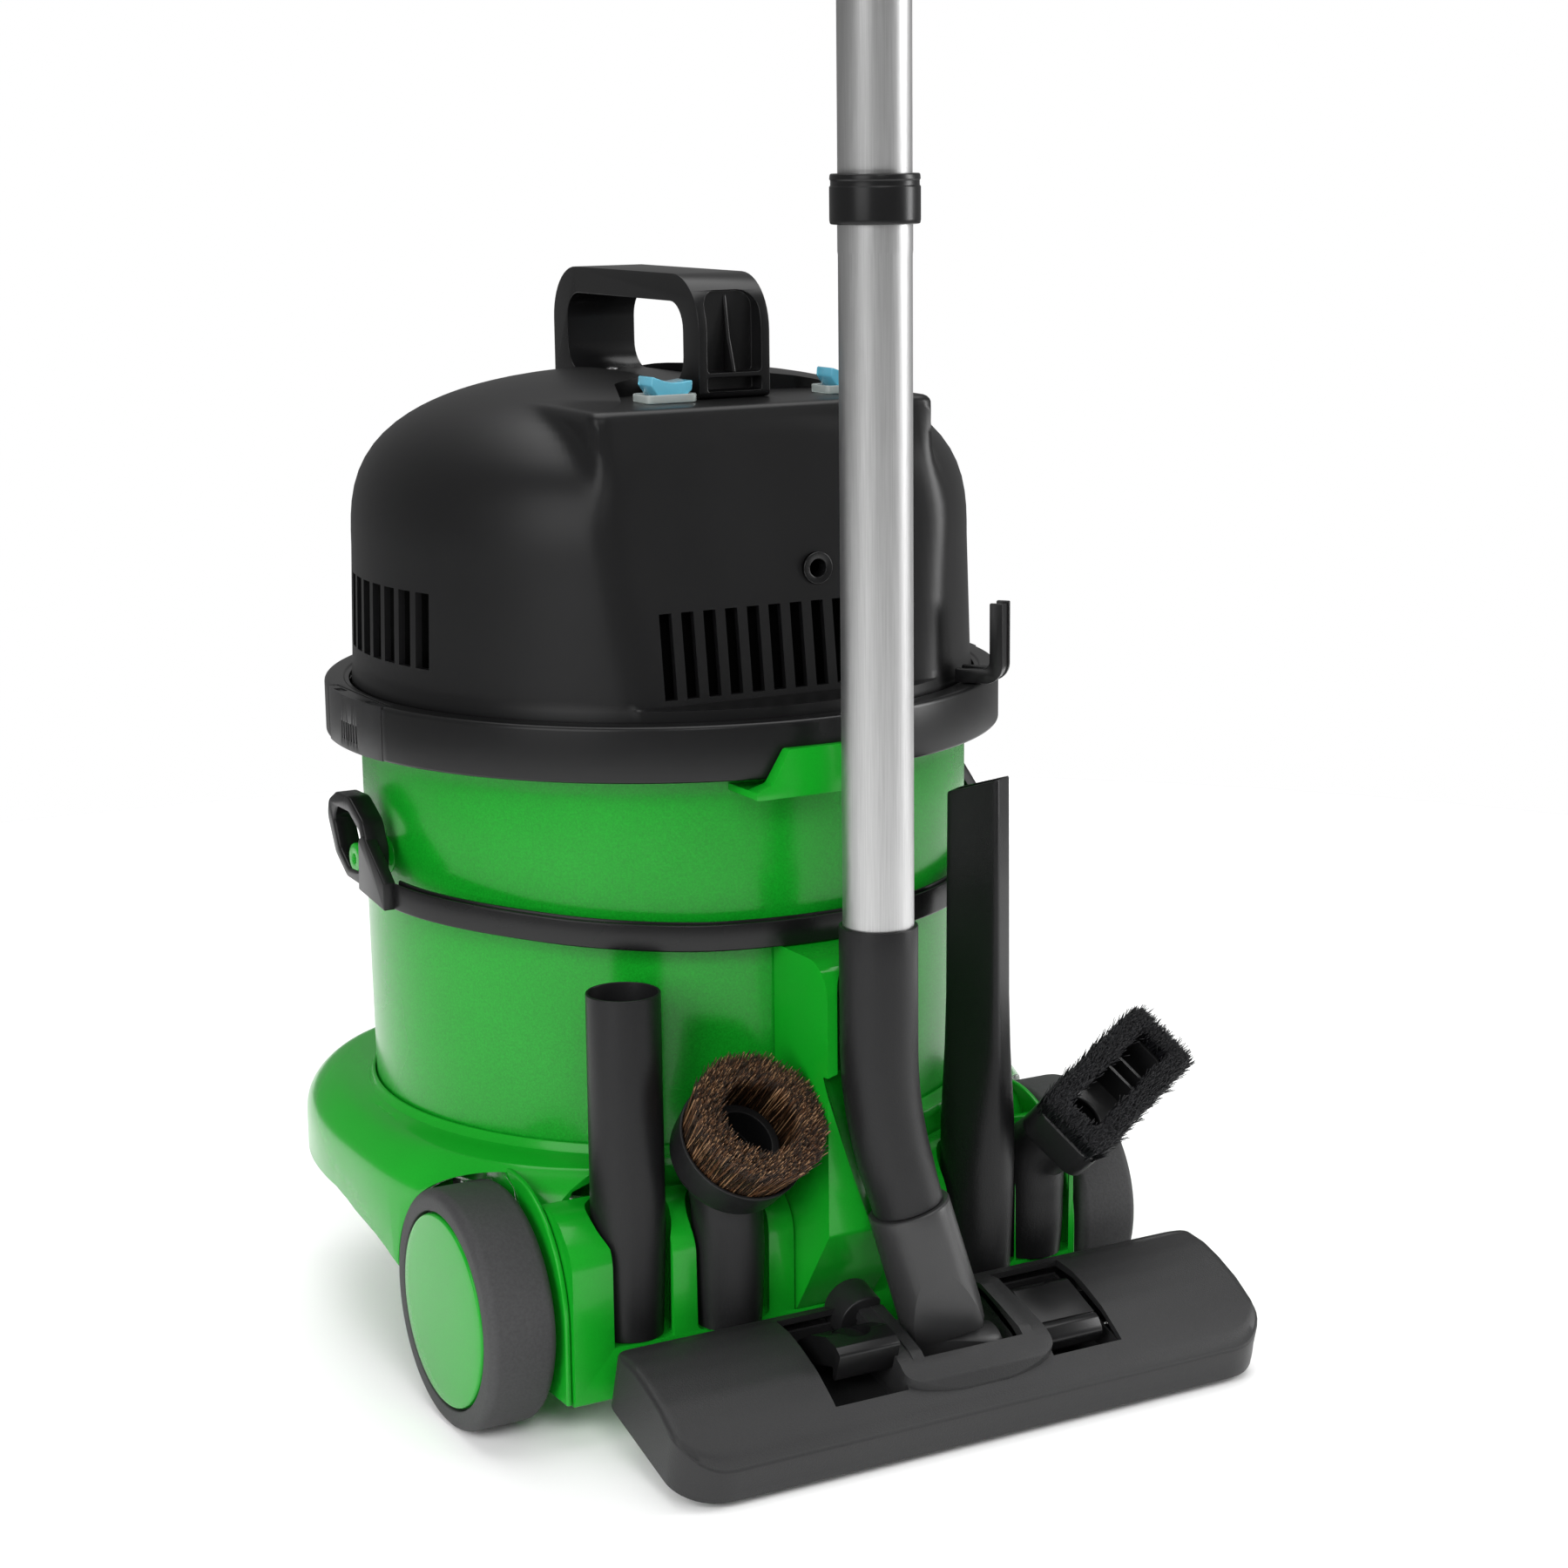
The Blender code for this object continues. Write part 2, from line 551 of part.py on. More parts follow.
def make_dome(black):
    outer = [(0.1600, 0.3088), (0.1600, 0.3115), (0.1520, 0.3116), (0.1518, 0.3214), (0.1511, LEDGE_Z)]
    outer.append((head_outline(0.1508, LEDGE_Z + 0.0004), LEDGE_Z + 0.0004))
    outer.append((head_outline(DOME_R + 0.0008, 0.3600), 0.3600))
    shares = (0.0, 0.14, 0.26, 0.38, 0.50)
    heights = [dome_radius(share) for share in shares]
    outer += [(head_outline(radius, height), height) for radius, height in heights]
    outer.append((head_outline(0.1020, BLOCK_TOP_Z - 0.0020), BLOCK_TOP_Z - 0.0020))
    outer.append((head_outline(0.0985, BLOCK_TOP_Z, 0.0015), BLOCK_TOP_Z))
    outer += [(0.0940, BLOCK_TOP_Z + 0.0006), dome_radius(0.74), dome_radius(0.86), (0, DOME_TOP_Z)]
    inner = [(0, BLOCK_TOP_Z - 0.0035), (0.0860, BLOCK_TOP_Z - 0.0036)]
    inner.append((head_outline(0.1000, BLOCK_TOP_Z, 0.0060), BLOCK_TOP_Z - 0.0048))
    inner += [(head_outline(radius - 0.0015, height, DOME_WALL), height - 0.0015) for radius,
              height in heights[::-1]]
    inner.append((head_outline(DOME_R, 0.3400, DOME_WALL), 0.3400))
    inner.append((head_outline(0.1500, 0.3295, DOME_WALL), 0.3230))
    inner.append((0.1490, 0.3200))
    inner.append((0.1490, 0.3088))
    dome = add("motor_cover", polar(outer[::-1] + inner[::-1], ROUND), black)
    recess = [(-0.0240, -0.0880), (0.0240, -0.0880), (0.0240, 0.0350), (0.0450, 0.0450), (0.0800, 0.1300),
              (-0.0800, 0.1300), (-0.0780, 0.0620), (-0.0520, 0.0440), (-0.0240, 0.0350)]
    cut(dome, prism(recess, "Z", BLOCK_TOP_Z, 0.48))
    pitch, half = 0.0111, 0.0031
    back_slots = [box((x - half, 0.10, 0.3290), (x + half, 0.145, 0.3675))
                  for x in (pitch * (k - 5.5) for k in range(12))]
    cut(dome, merged(back_slots))
    for sign in (1, -1):
        side_slots = []
        for k in range(8):
            y = 0.0105 * (k - 3.5) - 0.0060
            side_slots.append(box((min(sign * 0.13, sign * 0.17), y - 0.0030, 0.3350),
                                  (max(sign * 0.13, sign * 0.17), y + 0.0030, 0.3700)))
        cut(dome, merged(side_slots))
    cut(dome, rod(0.0074, (-0.0180, 0.10, 0.3820), (-0.0180, 0.14, 0.3820), COARSE))
    return dome


def make_ring(black, dark):
    ring = add("clamp_ring", turned([
        (0.1615, RING_LOW), (RING_R, RING_LOW), (RING_R, RING_TOP - 0.0012), (RING_R - 0.0012, RING_TOP),
        (0.1530, RING_TOP), (0.1530, RING_TOP - 0.003), (0.1615, RING_TOP - 0.003),
    ], ROUND), black)
    for side, sign in both_sides():
        low, high = sorted((sign * 0.1570, sign * 0.18))
        cut(ring, box((low, -LATCH_HALF - GAP, 0.28), (high, LATCH_HALF + GAP, 0.33)))
        near, far = 0.1575, RING_R
        outline = []
        for k in range(7):
            angle = math.asin(LATCH_HALF / far) * (k / 3 - 1)
            outline.append((sign * far * math.cos(angle), far * math.sin(angle)))
        outline += [(sign * near, LATCH_HALF), (sign * near, -LATCH_HALF)]
        latch = add(f"latch_{side}", prism(outline, "Z", RING_LOW, RING_TOP - 0.0002), dark,
                    (sign * 0.1598, 0, RING_TOP - 0.0017))
        inner_low, inner_high = sorted((sign * 0.15, sign * 0.1616))
        cut(latch, box((inner_low, -0.0305, 0.28), (inner_high, 0.0305, RING_TOP - 0.0036)))


def make_head_inside(dark, white, rubber, steel):
    add("lid_seal", turned([(0.1458, 0.2993), (0.1515, 0.2993), (0.1515, 0.3034), (0.1458, 0.3034)], ROUND),
        rubber)
    add("separator_plate", turned([
        (0.0300, 0.3037), (0.1590, 0.3037), (0.1590, 0.3085), (0.0300, 0.3085)], ROUND), dark)
    cage = add("float_cage", turned([
        (0.0330, 0.2550), (0.0360, 0.2550), (0.0360, 0.3034), (0.0330, 0.3034)], FINE), dark)
    join(cage, turned([(0, 0.2530), (0.0360, 0.2530), (0.0360, 0.2556), (0, 0.2556)], FINE))
    windows = []
    for k in range(3):
        bar = box((-0.05, -0.0090, 0.2600), (0.05, 0.0090, 0.2960))
        bmesh.ops.rotate(bar, verts=bar.verts, matrix=Matrix.Rotation(math.radians(60 * k + 30), 3, "Z"))
        windows.append(bar)
    for bar in windows:
        cut(cage, bar)
    add("float_ball", turned([(0, 0.2562), (0.0180, 0.2562), (0.0240, 0.2620), (0.0240, 0.2720),
                              (0.0180, 0.2780),
                              (0, 0.2790)], FINE), white)
    add("cloth_filter", turned([(0.0400, 0.2850), (0.1380, 0.2850), (0.1410, 0.2870), (0.1410, 0.3030),
                                (0.0400, 0.3030)], ROUND), white)
    fan = add("fan_housing", turned([
        (0.0180, 0.3088), (0.0680, 0.3088), (0.0680, 0.3450), (0.0060, 0.3450), (0.0060, 0.3425),
                                     (0.0655, 0.3425),
        (0.0655, 0.3113), (0.0180, 0.3113)], FINE), steel)
    outlets = [rod(0.0060, (0, 0, 0.3270), (0.08 * math.cos(a), 0.08 * math.sin(a), 0.3270), 8)
               for a in (math.radians(45 + 90 * k) for k in range(4))]
    for outlet in outlets:
        cut(fan, outlet)
    add("impeller", turned([(0, 0.3150), (0.0160, 0.3150), (0.0600, 0.3200), (0.0600, 0.3330),
                            (0.0120, 0.3380),
                            (0.0048, 0.3390), (0.0048, 0.3700), (0, 0.3700)], FINE), steel)
    add("motor", turned([(0, 0.4200), (0.0440, 0.4200), (0.0470, 0.4150), (0.0470, 0.3453), (0.0052, 0.3453),
                         (0.0052, 0.3720), (0, 0.3720)], FINE), dark)


def make_handle(black):
    outer = rounded((HANDLE_FRONT, HANDLE_FOOT), (HANDLE_BACK, HANDLE_TOP), 0.0055, 2)
    top = [point for point in rounded((HANDLE_FRONT, HANDLE_FOOT), (HANDLE_BACK, HANDLE_TOP), 0.0240, 5)
           if point[1] > (HANDLE_FOOT + HANDLE_TOP) / 2]
    base = [point for point in outer if point[1] < HANDLE_FOOT + 0.006]
    handle = add("carry_handle", prism(top + base, "X", -HANDLE_HALF, HANDLE_HALF), black)
    cut(handle, prism(rounded((-0.0610, 0.4630), (0.0640, 0.5010), 0.0120, 3), "X", -0.03, 0.03))
    cut(handle, box((-0.0140, 0.0710, 0.4700), (0.0140, 0.09, 0.5060)))
    cut(handle, box((-0.0140, 0.0710, 0.4600), (0.0140, 0.09, 0.4670)))


def make_switches(dark, blue):
    for name, x in (("vacuum", 0.0365), ("pump", -0.0570)):
        y, low = 0.0800, BLOCK_TOP_Z + GAP
        frame = add(f"{name}_switch_frame", box((x - 0.0158, y - 0.0095, low),
                                                (x + 0.0158, y + 0.0095, 0.4640)), dark)
        cut(frame, box((x - 0.0143, y - 0.0080, low - 0.01), (x + 0.0143, y + 0.0080, 0.47)))
        rocker = [(x - 0.0135, 0.4650), (x - 0.0050, 0.4585), (x + 0.0050, 0.4585), (x + 0.0135, 0.4650),
                  (x + 0.0128, 0.4690), (x, 0.4670), (x - 0.0128, 0.4690)]
        key = prism(rocker, "Y", y - 0.0076, y + 0.0076)
        bmesh.ops.rotate(key, verts=key.verts, cent=(x, y, 0.4620),
                         matrix=Matrix.Rotation(-SWITCH_TURN, 3, "Y"))
        add(f"{name}_switch", key, blue, (x, y, 0.4620))


def make_hook_and_gland(black, dark):
    """Upright cord hook on the ring, and the mains cord's gland in the flat back."""
    angle = math.radians(129.4)
    turn = Matrix.Rotation(angle, 3, "Z")
    side = [(0.1545, 0.3216), (0.1730, 0.3216), (0.1760, 0.3240), (0.1770, 0.3600), (0.1730, 0.3600),
            (0.1700, 0.3300), (0.1670, 0.3272), (0.1545, 0.3272)]
    hook = prism(side, "Y", -0.0060, 0.0060)
    bmesh.ops.rotate(hook, verts=hook.verts, matrix=turn)
    add("cord_hook", hook, black)
    y = back_at(0.3820)
    add("cord_gland", turned([(0.0042, y - 0.0060), (0.0068, y - 0.0060), (0.0068, y + 0.0014),
                              (0.0085, y + 0.0016),
                              (0.0078, y + 0.0032), (0.0042, y + 0.0032)], COARSE, (-0.0180, 0, 0.3820),
                             "Y"), dark)


# ---------------------------------------------------------------- wand and floor head
def neck_direction():
    return (Vector((HEAD_X, TILT_Y, TILT_Z)) - Vector((0, WAND_Y, ELBOW_BEND_Z))).normalized()


def make_wand(black, steel):
    bend = Vector((0, WAND_Y, ELBOW_BEND_Z))
    down = neck_direction()
    joint = bend + down * 0.055
    path = [(0, WAND_Y, SLEEVE_TOP), (0, WAND_Y, LOWER_TUBE_END), (0, WAND_Y, LOWER_TUBE_END - 0.001),
            bend + Vector((0, 0, 0.012)), bend + Vector((0, 0, 0.005)) + down * 0.0005, bend + down * 0.007,
            bend + down * 0.014, joint]
    outer = [SLEEVE_R, SLEEVE_R, SLEEVE_R, SLEEVE_R, SLEEVE_R, 0.0172, 0.0168, 0.0163]
    inner = [TUBE_R + GAP, TUBE_R + GAP, 0.0142, 0.0142, 0.0142, 0.0142, 0.0140, 0.0140]
    add("wand_elbow", pipe(path, outer, inner), black)
    low = LOWER_TUBE_END + GAP
    add("lower_tube", turned([(TUBE_BORE, low), (TUBE_R, low), (TUBE_R, COLLAR_LOW + 0.010),
                              (TUBE_BORE, COLLAR_LOW + 0.010)], FINE, (0, WAND_Y, 0)), steel)
    add("tube_collar", turned([(TUBE_R + GAP, COLLAR_LOW), (COLLAR_R - 0.0006, COLLAR_LOW),
                               (COLLAR_R, COLLAR_LOW + 0.001),
                               (COLLAR_R, COLLAR_TOP - 0.001), (COLLAR_R - 0.0006, COLLAR_TOP),
                               (TUBE_R + GAP, COLLAR_TOP)], FINE, (0, WAND_Y, 0)), black)
    add("upper_tube", turned([(TUBE_BORE, COLLAR_LOW + 0.0103), (TUBE_R, COLLAR_LOW + 0.0103),
                              (TUBE_R, WAND_TOP),
                              (TUBE_BORE, WAND_TOP)], FINE, (0, WAND_Y, 0)), steel)
    start = joint + down * GAP
    tip = bend + down * 0.1130
    neck = add("neck", pipe([start, start + down * 0.006, tip - down * 0.030, tip],
                            [0.0180, 0.0184, 0.0195, 0.0185], [0.0140, 0.0140, 0.0140, 0.0140]), black)
    join(neck, rod(0.0125, (HEAD_X - 0.0200, TILT_Y, TILT_Z), (HEAD_X + 0.0200, TILT_Y, TILT_Z), FINE))
    cut(neck, rod(0.0120, bend + down * 0.080, bend + down * 0.16, FINE))
    cut(neck, rod(0.0032, (HEAD_X - 0.03, TILT_Y, TILT_Z), (HEAD_X + 0.03, TILT_Y, TILT_Z), COARSE))


def tilted(shape):
    """Floor head shape drawn flat, turned about its trunnion to lean on its front edge."""
    about = Matrix.Translation((0, TILT_Y, TILT_Z)) @ Matrix.Rotation(-HEAD_TILT, 4, "X")
    bmesh.ops.transform(shape, matrix=about @ Matrix.Translation((0, -TILT_Y, -TILT_Z)), verts=shape.verts)
    return shape


def tilted_point(x, back, up):
    """Point of the floor head, from its distance behind the front edge and above the sole."""
    turn = Matrix.Rotation(-HEAD_TILT, 3, "X")
    return Vector((x, TILT_Y, TILT_Z)) + turn @ Vector((0, TRUNNION_BACK - back, up - TRUNNION_UP))


def head_y(back):
    return TILT_Y + TRUNNION_BACK - back


def head_z(up):
    return TILT_Z - TRUNNION_UP + up


def head_plan():
    """Floor head's outline seen from above, with its front corners well rounded."""
    low, high = HEAD_X - HEAD_HALF, HEAD_X + HEAD_HALF
    front = rounded((low, head_y(HEAD_DEPTH)), (high, head_y(0)), 0.0220, 4)
    back = rounded((low, head_y(HEAD_DEPTH)), (high, head_y(0)), 0.0100, 2)
    middle = head_y(HEAD_DEPTH / 2)
    return [p for p in front if p[1] > middle] + [p for p in back if p[1] < middle]


def head_side(inset=0.0):
    """Floor head's side outline: steep skirt, then a crown that is highest behind the middle."""
    crown = ((0.0040, 0.0175), (0.0200, 0.0258), (0.0350, 0.0300), (0.0600, 0.0320), (0.0740, 0.0290))
    top = [(head_y(back), head_z(up - inset)) for back, up in crown]
    low = head_z(-0.01 if inset else 0.0)
    return [(head_y(inset), low), (head_y(inset), head_z(0.0030)),
            (head_y(0.0010 + inset), head_z(0.0150 - inset)), *top,
            (head_y(HEAD_DEPTH - 0.001 - inset), head_z(0.0235 - inset)),
            (head_y(HEAD_DEPTH - inset), head_z(0.0180)),
            (head_y(HEAD_DEPTH - inset), low)]


def head_box(x, half, back, up):
    """Box of the floor head: middle and half width across, spans behind the front edge and above the sole."""
    return box((x - half, head_y(back[1]), head_z(up[0])), (x + half, head_y(back[0]), head_z(up[1])))


def make_floor_head(dark, steel):
    pivot = (HEAD_X, TILT_Y, TILT_Z)
    shell = add("floor_head", tilted(prism(head_side(), "X", HEAD_X - HEAD_HALF - 0.001,
                                           HEAD_X + HEAD_HALF + 0.001)),
                dark, pivot)
    combine(shell, tilted(prism(head_plan(), "Z", -0.02, 0.08)), "INTERSECT")
    square = HEAD_HALF - 0.0225
    cut(shell, tilted(prism(head_side(0.0028), "X", HEAD_X - square, HEAD_X + square)))
    end = [(0.0225, -0.01), (0.0225, 0.0236), (0.0350, 0.0272), (0.0600, 0.0292), (0.0740, 0.0262),
           (0.0790, 0.0222),
           (0.0790, -0.01)]
    side_view = [(head_y(back), head_z(up)) for back, up in end]
    for sign in (1, -1):
        low, high = sorted((HEAD_X + sign * (square - 0.001), HEAD_X + sign * (HEAD_HALF - 0.0035)))
        cut(shell, tilted(prism(side_view, "X", low, high)))
    for sign in (1, -1):
        middle = HEAD_X + sign * PEDAL_X
        tray = [(0.0155, 0.0080), (0.0155, 0.0220), (0.0200, 0.0243), (0.0350, 0.0285), (0.0600, 0.0305),
                (0.0725, 0.0278), (0.0725, 0.0080)]
        join(shell, tilted(prism([(head_y(back), head_z(up)) for back, up in tray], "X", middle - 0.0255,
                                 middle + 0.0255)))
        cut(shell, tilted(head_box(HEAD_X + sign * PEDAL_X, 0.0230, (0.0180, 0.0700), (0.0095, 0.06))))
    slot = NECK_SLOT - GAP
    cut(shell, tilted(head_box(HEAD_X, slot, (0.0150, 0.0900), (0.0075, 0.06))))
    for sign in (1, -1):
        middle = HEAD_X + sign * (slot + 0.0019)
        ear = [(head_y(0.0560), head_z(0.0070)), (head_y(0.0230), head_z(0.0070)),
               (head_y(0.0230), head_z(0.0240)),
               (head_y(0.0340), head_z(0.0340)), (head_y(0.0480), head_z(0.0340)),
               (head_y(0.0560), head_z(0.0290))]
        join(shell, tilted(prism(ear, "X", middle - 0.0019, middle + 0.0019)))
    cut(shell, rod(0.0032, (HEAD_X - slot - 0.0020, TILT_Y, TILT_Z),
                   (HEAD_X + slot + 0.0020, TILT_Y, TILT_Z), COARSE))
    add("tilt_pin", rod(0.0028, (HEAD_X - slot - 0.0015, TILT_Y, TILT_Z),
                        (HEAD_X + slot + 0.0015, TILT_Y, TILT_Z), COARSE),
        steel, pivot)
    sole = add("sole_plate", tilted(head_box(HEAD_X, HEAD_HALF - 0.0045, (0.0045, HEAD_DEPTH - 0.0042),
                                             (0.0010, 0.0035))),
               steel, pivot)
    for sign in (1, -1):
        cut(sole, tilted(head_box(HEAD_X + sign * HEAD_HALF, 0.0232, (0.0, 0.0232), (-0.01, 0.02))))
        cut(sole, tilted(head_box(HEAD_X + sign * ROLLER_X, 0.0090,
                                  (ROLLER_BACK - 0.0100, ROLLER_BACK + 0.0090), (-0.01, 0.02))))
    cut(sole, tilted(head_box(HEAD_X, HEAD_HALF - 0.0280, (0.0220, 0.0400), (-0.01, 0.02))))
    for back in STRIPS.values():
        cut(sole, tilted(head_box(HEAD_X, HEAD_HALF - 0.0330, (back - 0.0021, back + 0.0021), (-0.01, 0.02))))


def make_floor_head_inside(black, hair, rubber):
    for name, back in STRIPS.items():
        place = tilted_point(HEAD_X, back, 0.0040)
        add(f"brush_strip_{name}", tilted(head_box(HEAD_X, HEAD_HALF - 0.0334, (back - 0.0017, back + 0.0017),
                                                   (-0.0010 + GAP, 0.0064))), hair, place)
    for side, sign in both_sides():
        centre = tilted_point(HEAD_X + sign * ROLLER_X, ROLLER_BACK, 0.0088)
        add(f"head_roller_{side}", turned([(0, -0.0072), (0.0078, -0.0072), (0.0088, -0.0060),
                                           (0.0088, 0.0060),
                                           (0.0078, 0.0072), (0, 0.0072)], COARSE, centre, "X"), rubber,
            centre)
    for side, sign in both_sides():
        x = HEAD_X + sign * PEDAL_X
        pivot = tilted_point(x, 0.0620, 0.0165)
        if sign > 0:
            outline = [(0.0300, 0.0230), (0.0300, 0.0400), (0.0340, 0.0375), (0.0400, 0.0380),
                       (0.0440, 0.0410),
                       (0.0560, 0.0330), (0.0660, 0.0230), (0.0660, 0.0140), (0.0560, 0.0140)]
        else:
            outline = [(0.0230, 0.0210), (0.0230, 0.0275), (0.0400, 0.0318), (0.0560, 0.0330),
                       (0.0660, 0.0250),
                       (0.0660, 0.0140), (0.0560, 0.0140)]
        side_view = [(head_y(back), head_z(up)) for back, up in outline]
        add(f"pedal_{side}", tilted(prism(side_view, "X", x - 0.0180, x + 0.0180)), black, pivot)


# ---------------------------------------------------------------- hand tools
def make_tools(dark, black, hair):
    x, y = TOOLS["adaptor"]
    low = SHELF_Z + GAP
    add("adaptor_tube", turned([(TOOL_BORE, low), (0.0155, low), (0.0180, 0.1050), (0.0172, 0.2050),
                                (0.0152, 0.2050),
                                (0.0152, 0.1100), (TOOL_BORE, 0.0800)], FINE, (x, y, 0)), dark)

    x, y = TOOLS["dusting"]
    face = Vector((-0.08, 0.70, 0.71)).normalized()
    base = Vector((x + 0.0015, y + 0.0030, 0.1230))
    brush = add("dusting_brush", pipe([(x, y, low), (x, y, 0.0800), (x + 0.0010, y + 0.0010, 0.1020),
                                             base - face * 0.004, base + face * 0.001],
                                      [0.0150, 0.0165, 0.0165, 0.0175, 0.0175],
                                      [TOOL_BORE, TOOL_BORE, 0.0132, 0.0130, 0.0130]), dark)
    join(brush, turned([(0, 0), (0.0280, 0), (0.0302, 0.0150), (0.0285, 0.0150), (0.0270, 0.0030),
                        (0.0185, 0.0030),
                        (0.0180, 0.0180), (0, 0.0180)], FINE, base, face))
    cut(brush, rod(0.0138, base - face * 0.0040, base + face * 0.03, FINE))
    add("dusting_bristles", turned([(0.0190, 0.0034), (0.0262, 0.0034), (0.0280, 0.0150), (0.0308, 0.0420),
                                    (0.0190, 0.0420)],
                                   FINE, base, face), hair)

    x, y = TOOLS["crevice"]
    rings = []
    for height, wide, thick in ((low, 0.0155, 0.0155), (0.0800, 0.0170, 0.0170), (0.1100, 0.0175, 0.0160),
                                (0.1500, 0.0160, 0.0095), (0.2810, 0.0150, 0.0075)):
        rings.append((height, wide, thick))

    def flat_ring(height, wide, thick, slope):
        turn = math.radians(-45)
        row = []
        for k in range(FINE):
            angle = math.tau * k / FINE
            squareness = 1.0 if height < 0.12 else 0.55
            a = wide * math.copysign(abs(math.cos(angle)) ** squareness, math.cos(angle))
            b = thick * math.copysign(abs(math.sin(angle)) ** squareness, math.sin(angle))
            row.append((x + a * math.cos(turn) - b * math.sin(turn),
                        y + a * math.sin(turn) + b * math.cos(turn),
                        height + slope * a))
        return row

    outside = [flat_ring(h, w, t, -0.5 if h > 0.2 else 0.0) for h, w, t in rings]
    inside = [flat_ring(h, w - 0.0021, t - 0.0021, -0.5 if h > 0.2 else 0.0) for h, w, t in rings]
    crevice = loft(outside + inside[::-1], closed=True)
    add("crevice_tool", crevice, dark)

    x, y = TOOLS["upholstery"]
    tilt = Vector((-0.10, 0.72, 0.69)).normalized()
    along = Vector((-0.88, -0.28, 0.38))
    along = (along - along.dot(tilt) * tilt).normalized()
    middle = Vector((-0.1411, 0.1700, 0.1180))
    base = middle - along * 0.0150
    nozzle = add("upholstery_tool", pipe([(x, y, low), (x, y, 0.0780), (x - 0.001, y + 0.003, 0.0950),
                                          base - tilt * 0.008,
                                          base + tilt * 0.001],
                                         [0.0150, 0.0165, 0.0160, 0.0150, 0.0150],
                                         [TOOL_BORE, TOOL_BORE, 0.0120, 0.0115, 0.0115]), dark)
    across = tilt.cross(along)
    place = Matrix((along, across, tilt)).transposed().to_4x4()
    place.translation = middle
    cup = prism(rounded((-0.0450, -0.0190), (0.0450, 0.0190), 0.0080, 3), "Z", 0.0, 0.0180)
    bmesh.ops.transform(cup, matrix=place, verts=cup.verts)
    join(nozzle, cup)
    hollow = prism(rounded((-0.0425, -0.0165), (0.0425, 0.0165), 0.0060, 3), "Z", 0.0030, 0.03)
    bmesh.ops.transform(hollow, matrix=place, verts=hollow.verts)
    cut(nozzle, hollow)
    cut(nozzle, rod(0.0110, base - tilt * 0.010, base + tilt * 0.01, COARSE))
    outer = rounded((-0.0422, -0.0162), (0.0422, 0.0162), 0.0057, 3)
    inner = rounded((-0.0330, -0.0080), (0.0330, 0.0080), 0.0030, 3)
    wall = [[(a, b, t) for a, b in outer] for t in (0.0034, 0.0270)]
    hole = [[(a, b, t) for a, b in inner] for t in (0.0270, 0.0034)]
    tuft = loft(wall + hole, closed=True)
    bmesh.ops.transform(tuft, matrix=place, verts=tuft.verts)
    add("upholstery_bristles", tuft, hair)


def main():
    clear_scene()
    machine = bpy.data.objects.new("machine", None)
    machine.location = AXIS_FROM_MIDDLE
    bpy.context.collection.objects.link(machine)
    green = material("gloss_green", GREEN, 0.25)
    black = material("gloss_black", BLACK, 0.15)
    dark = material("dark_plastic", DARK, 0.5)
    rubber = material("grey_rubber", RUBBER, 0.7)
    steel = material("satin_tube", STEEL, 0.3, 1.0)
    blue = material("switch_blue", BLUE, 0.2)
    hair = material("brush_hair", HAIR, 0.8)
    white = material("filter_white", WHITE, 0.8)
    make_base(green)
    make_caddy(green)
    make_dock(green)
    make_wheels(green, rubber, dark, steel)
    make_castors(black, dark)
    make_drum(green, black, dark)
    make_bail(black)
    make_dome(black)
    make_ring(black, dark)
    make_head_inside(dark, white, rubber, steel)
    make_handle(black)
    make_switches(dark, blue)
    make_hook_and_gland(black, dark)
    make_wand(black, steel)
    make_floor_head(dark, steel)
    make_floor_head_inside(black, hair, rubber)
    make_tools(dark, black, hair)


main()
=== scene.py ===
"""Looks of the drum vacuum cleaner: studio, materials and the detailed pieces."""
import json
import math
import random

import bmesh
import bpy
from mathutils import Matrix, Vector


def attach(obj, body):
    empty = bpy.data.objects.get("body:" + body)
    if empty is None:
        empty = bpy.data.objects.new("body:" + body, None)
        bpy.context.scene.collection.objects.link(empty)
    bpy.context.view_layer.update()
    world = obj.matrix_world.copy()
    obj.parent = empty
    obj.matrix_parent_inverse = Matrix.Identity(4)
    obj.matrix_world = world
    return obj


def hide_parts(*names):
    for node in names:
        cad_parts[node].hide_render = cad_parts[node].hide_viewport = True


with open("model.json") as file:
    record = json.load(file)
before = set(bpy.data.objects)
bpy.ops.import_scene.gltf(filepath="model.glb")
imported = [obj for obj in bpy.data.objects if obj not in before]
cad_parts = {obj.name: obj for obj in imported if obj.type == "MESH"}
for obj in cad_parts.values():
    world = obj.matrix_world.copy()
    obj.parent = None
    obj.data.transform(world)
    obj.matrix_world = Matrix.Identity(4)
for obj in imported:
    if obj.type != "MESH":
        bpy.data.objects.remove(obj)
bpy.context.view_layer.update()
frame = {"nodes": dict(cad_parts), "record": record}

SHIFT = Vector((0.0075, -0.0346, 0.0))       # drum axis in the row frame
TAU = math.tau
WAND_Y = 0.207                              # back of the drum to the wand tube axis
TOOL_FOOT = 0.0453                           # lower end of each parked hand tool


# ---------------------------------------------------------------- studio
def look_camera():
    data = bpy.data.cameras.new("camera")
    camera = bpy.data.objects.new("camera", data)
    right = Vector((-0.87426, 0.48533, -0.01083))
    up = Vector((-0.10932, -0.17509, 0.97846))
    back = Vector((0.47298, 0.85662, 0.20613))
    turn = Matrix((right, up, back)).transposed().to_4x4()
    camera.matrix_world = Matrix.Translation(Vector((0.66996, 1.33575, 0.57486)) + SHIFT) @ turn
    data.sensor_width = 36.0
    data.lens = 70.54
    data.clip_end = 50
    bpy.context.collection.objects.link(camera)
    bpy.context.scene.camera = camera


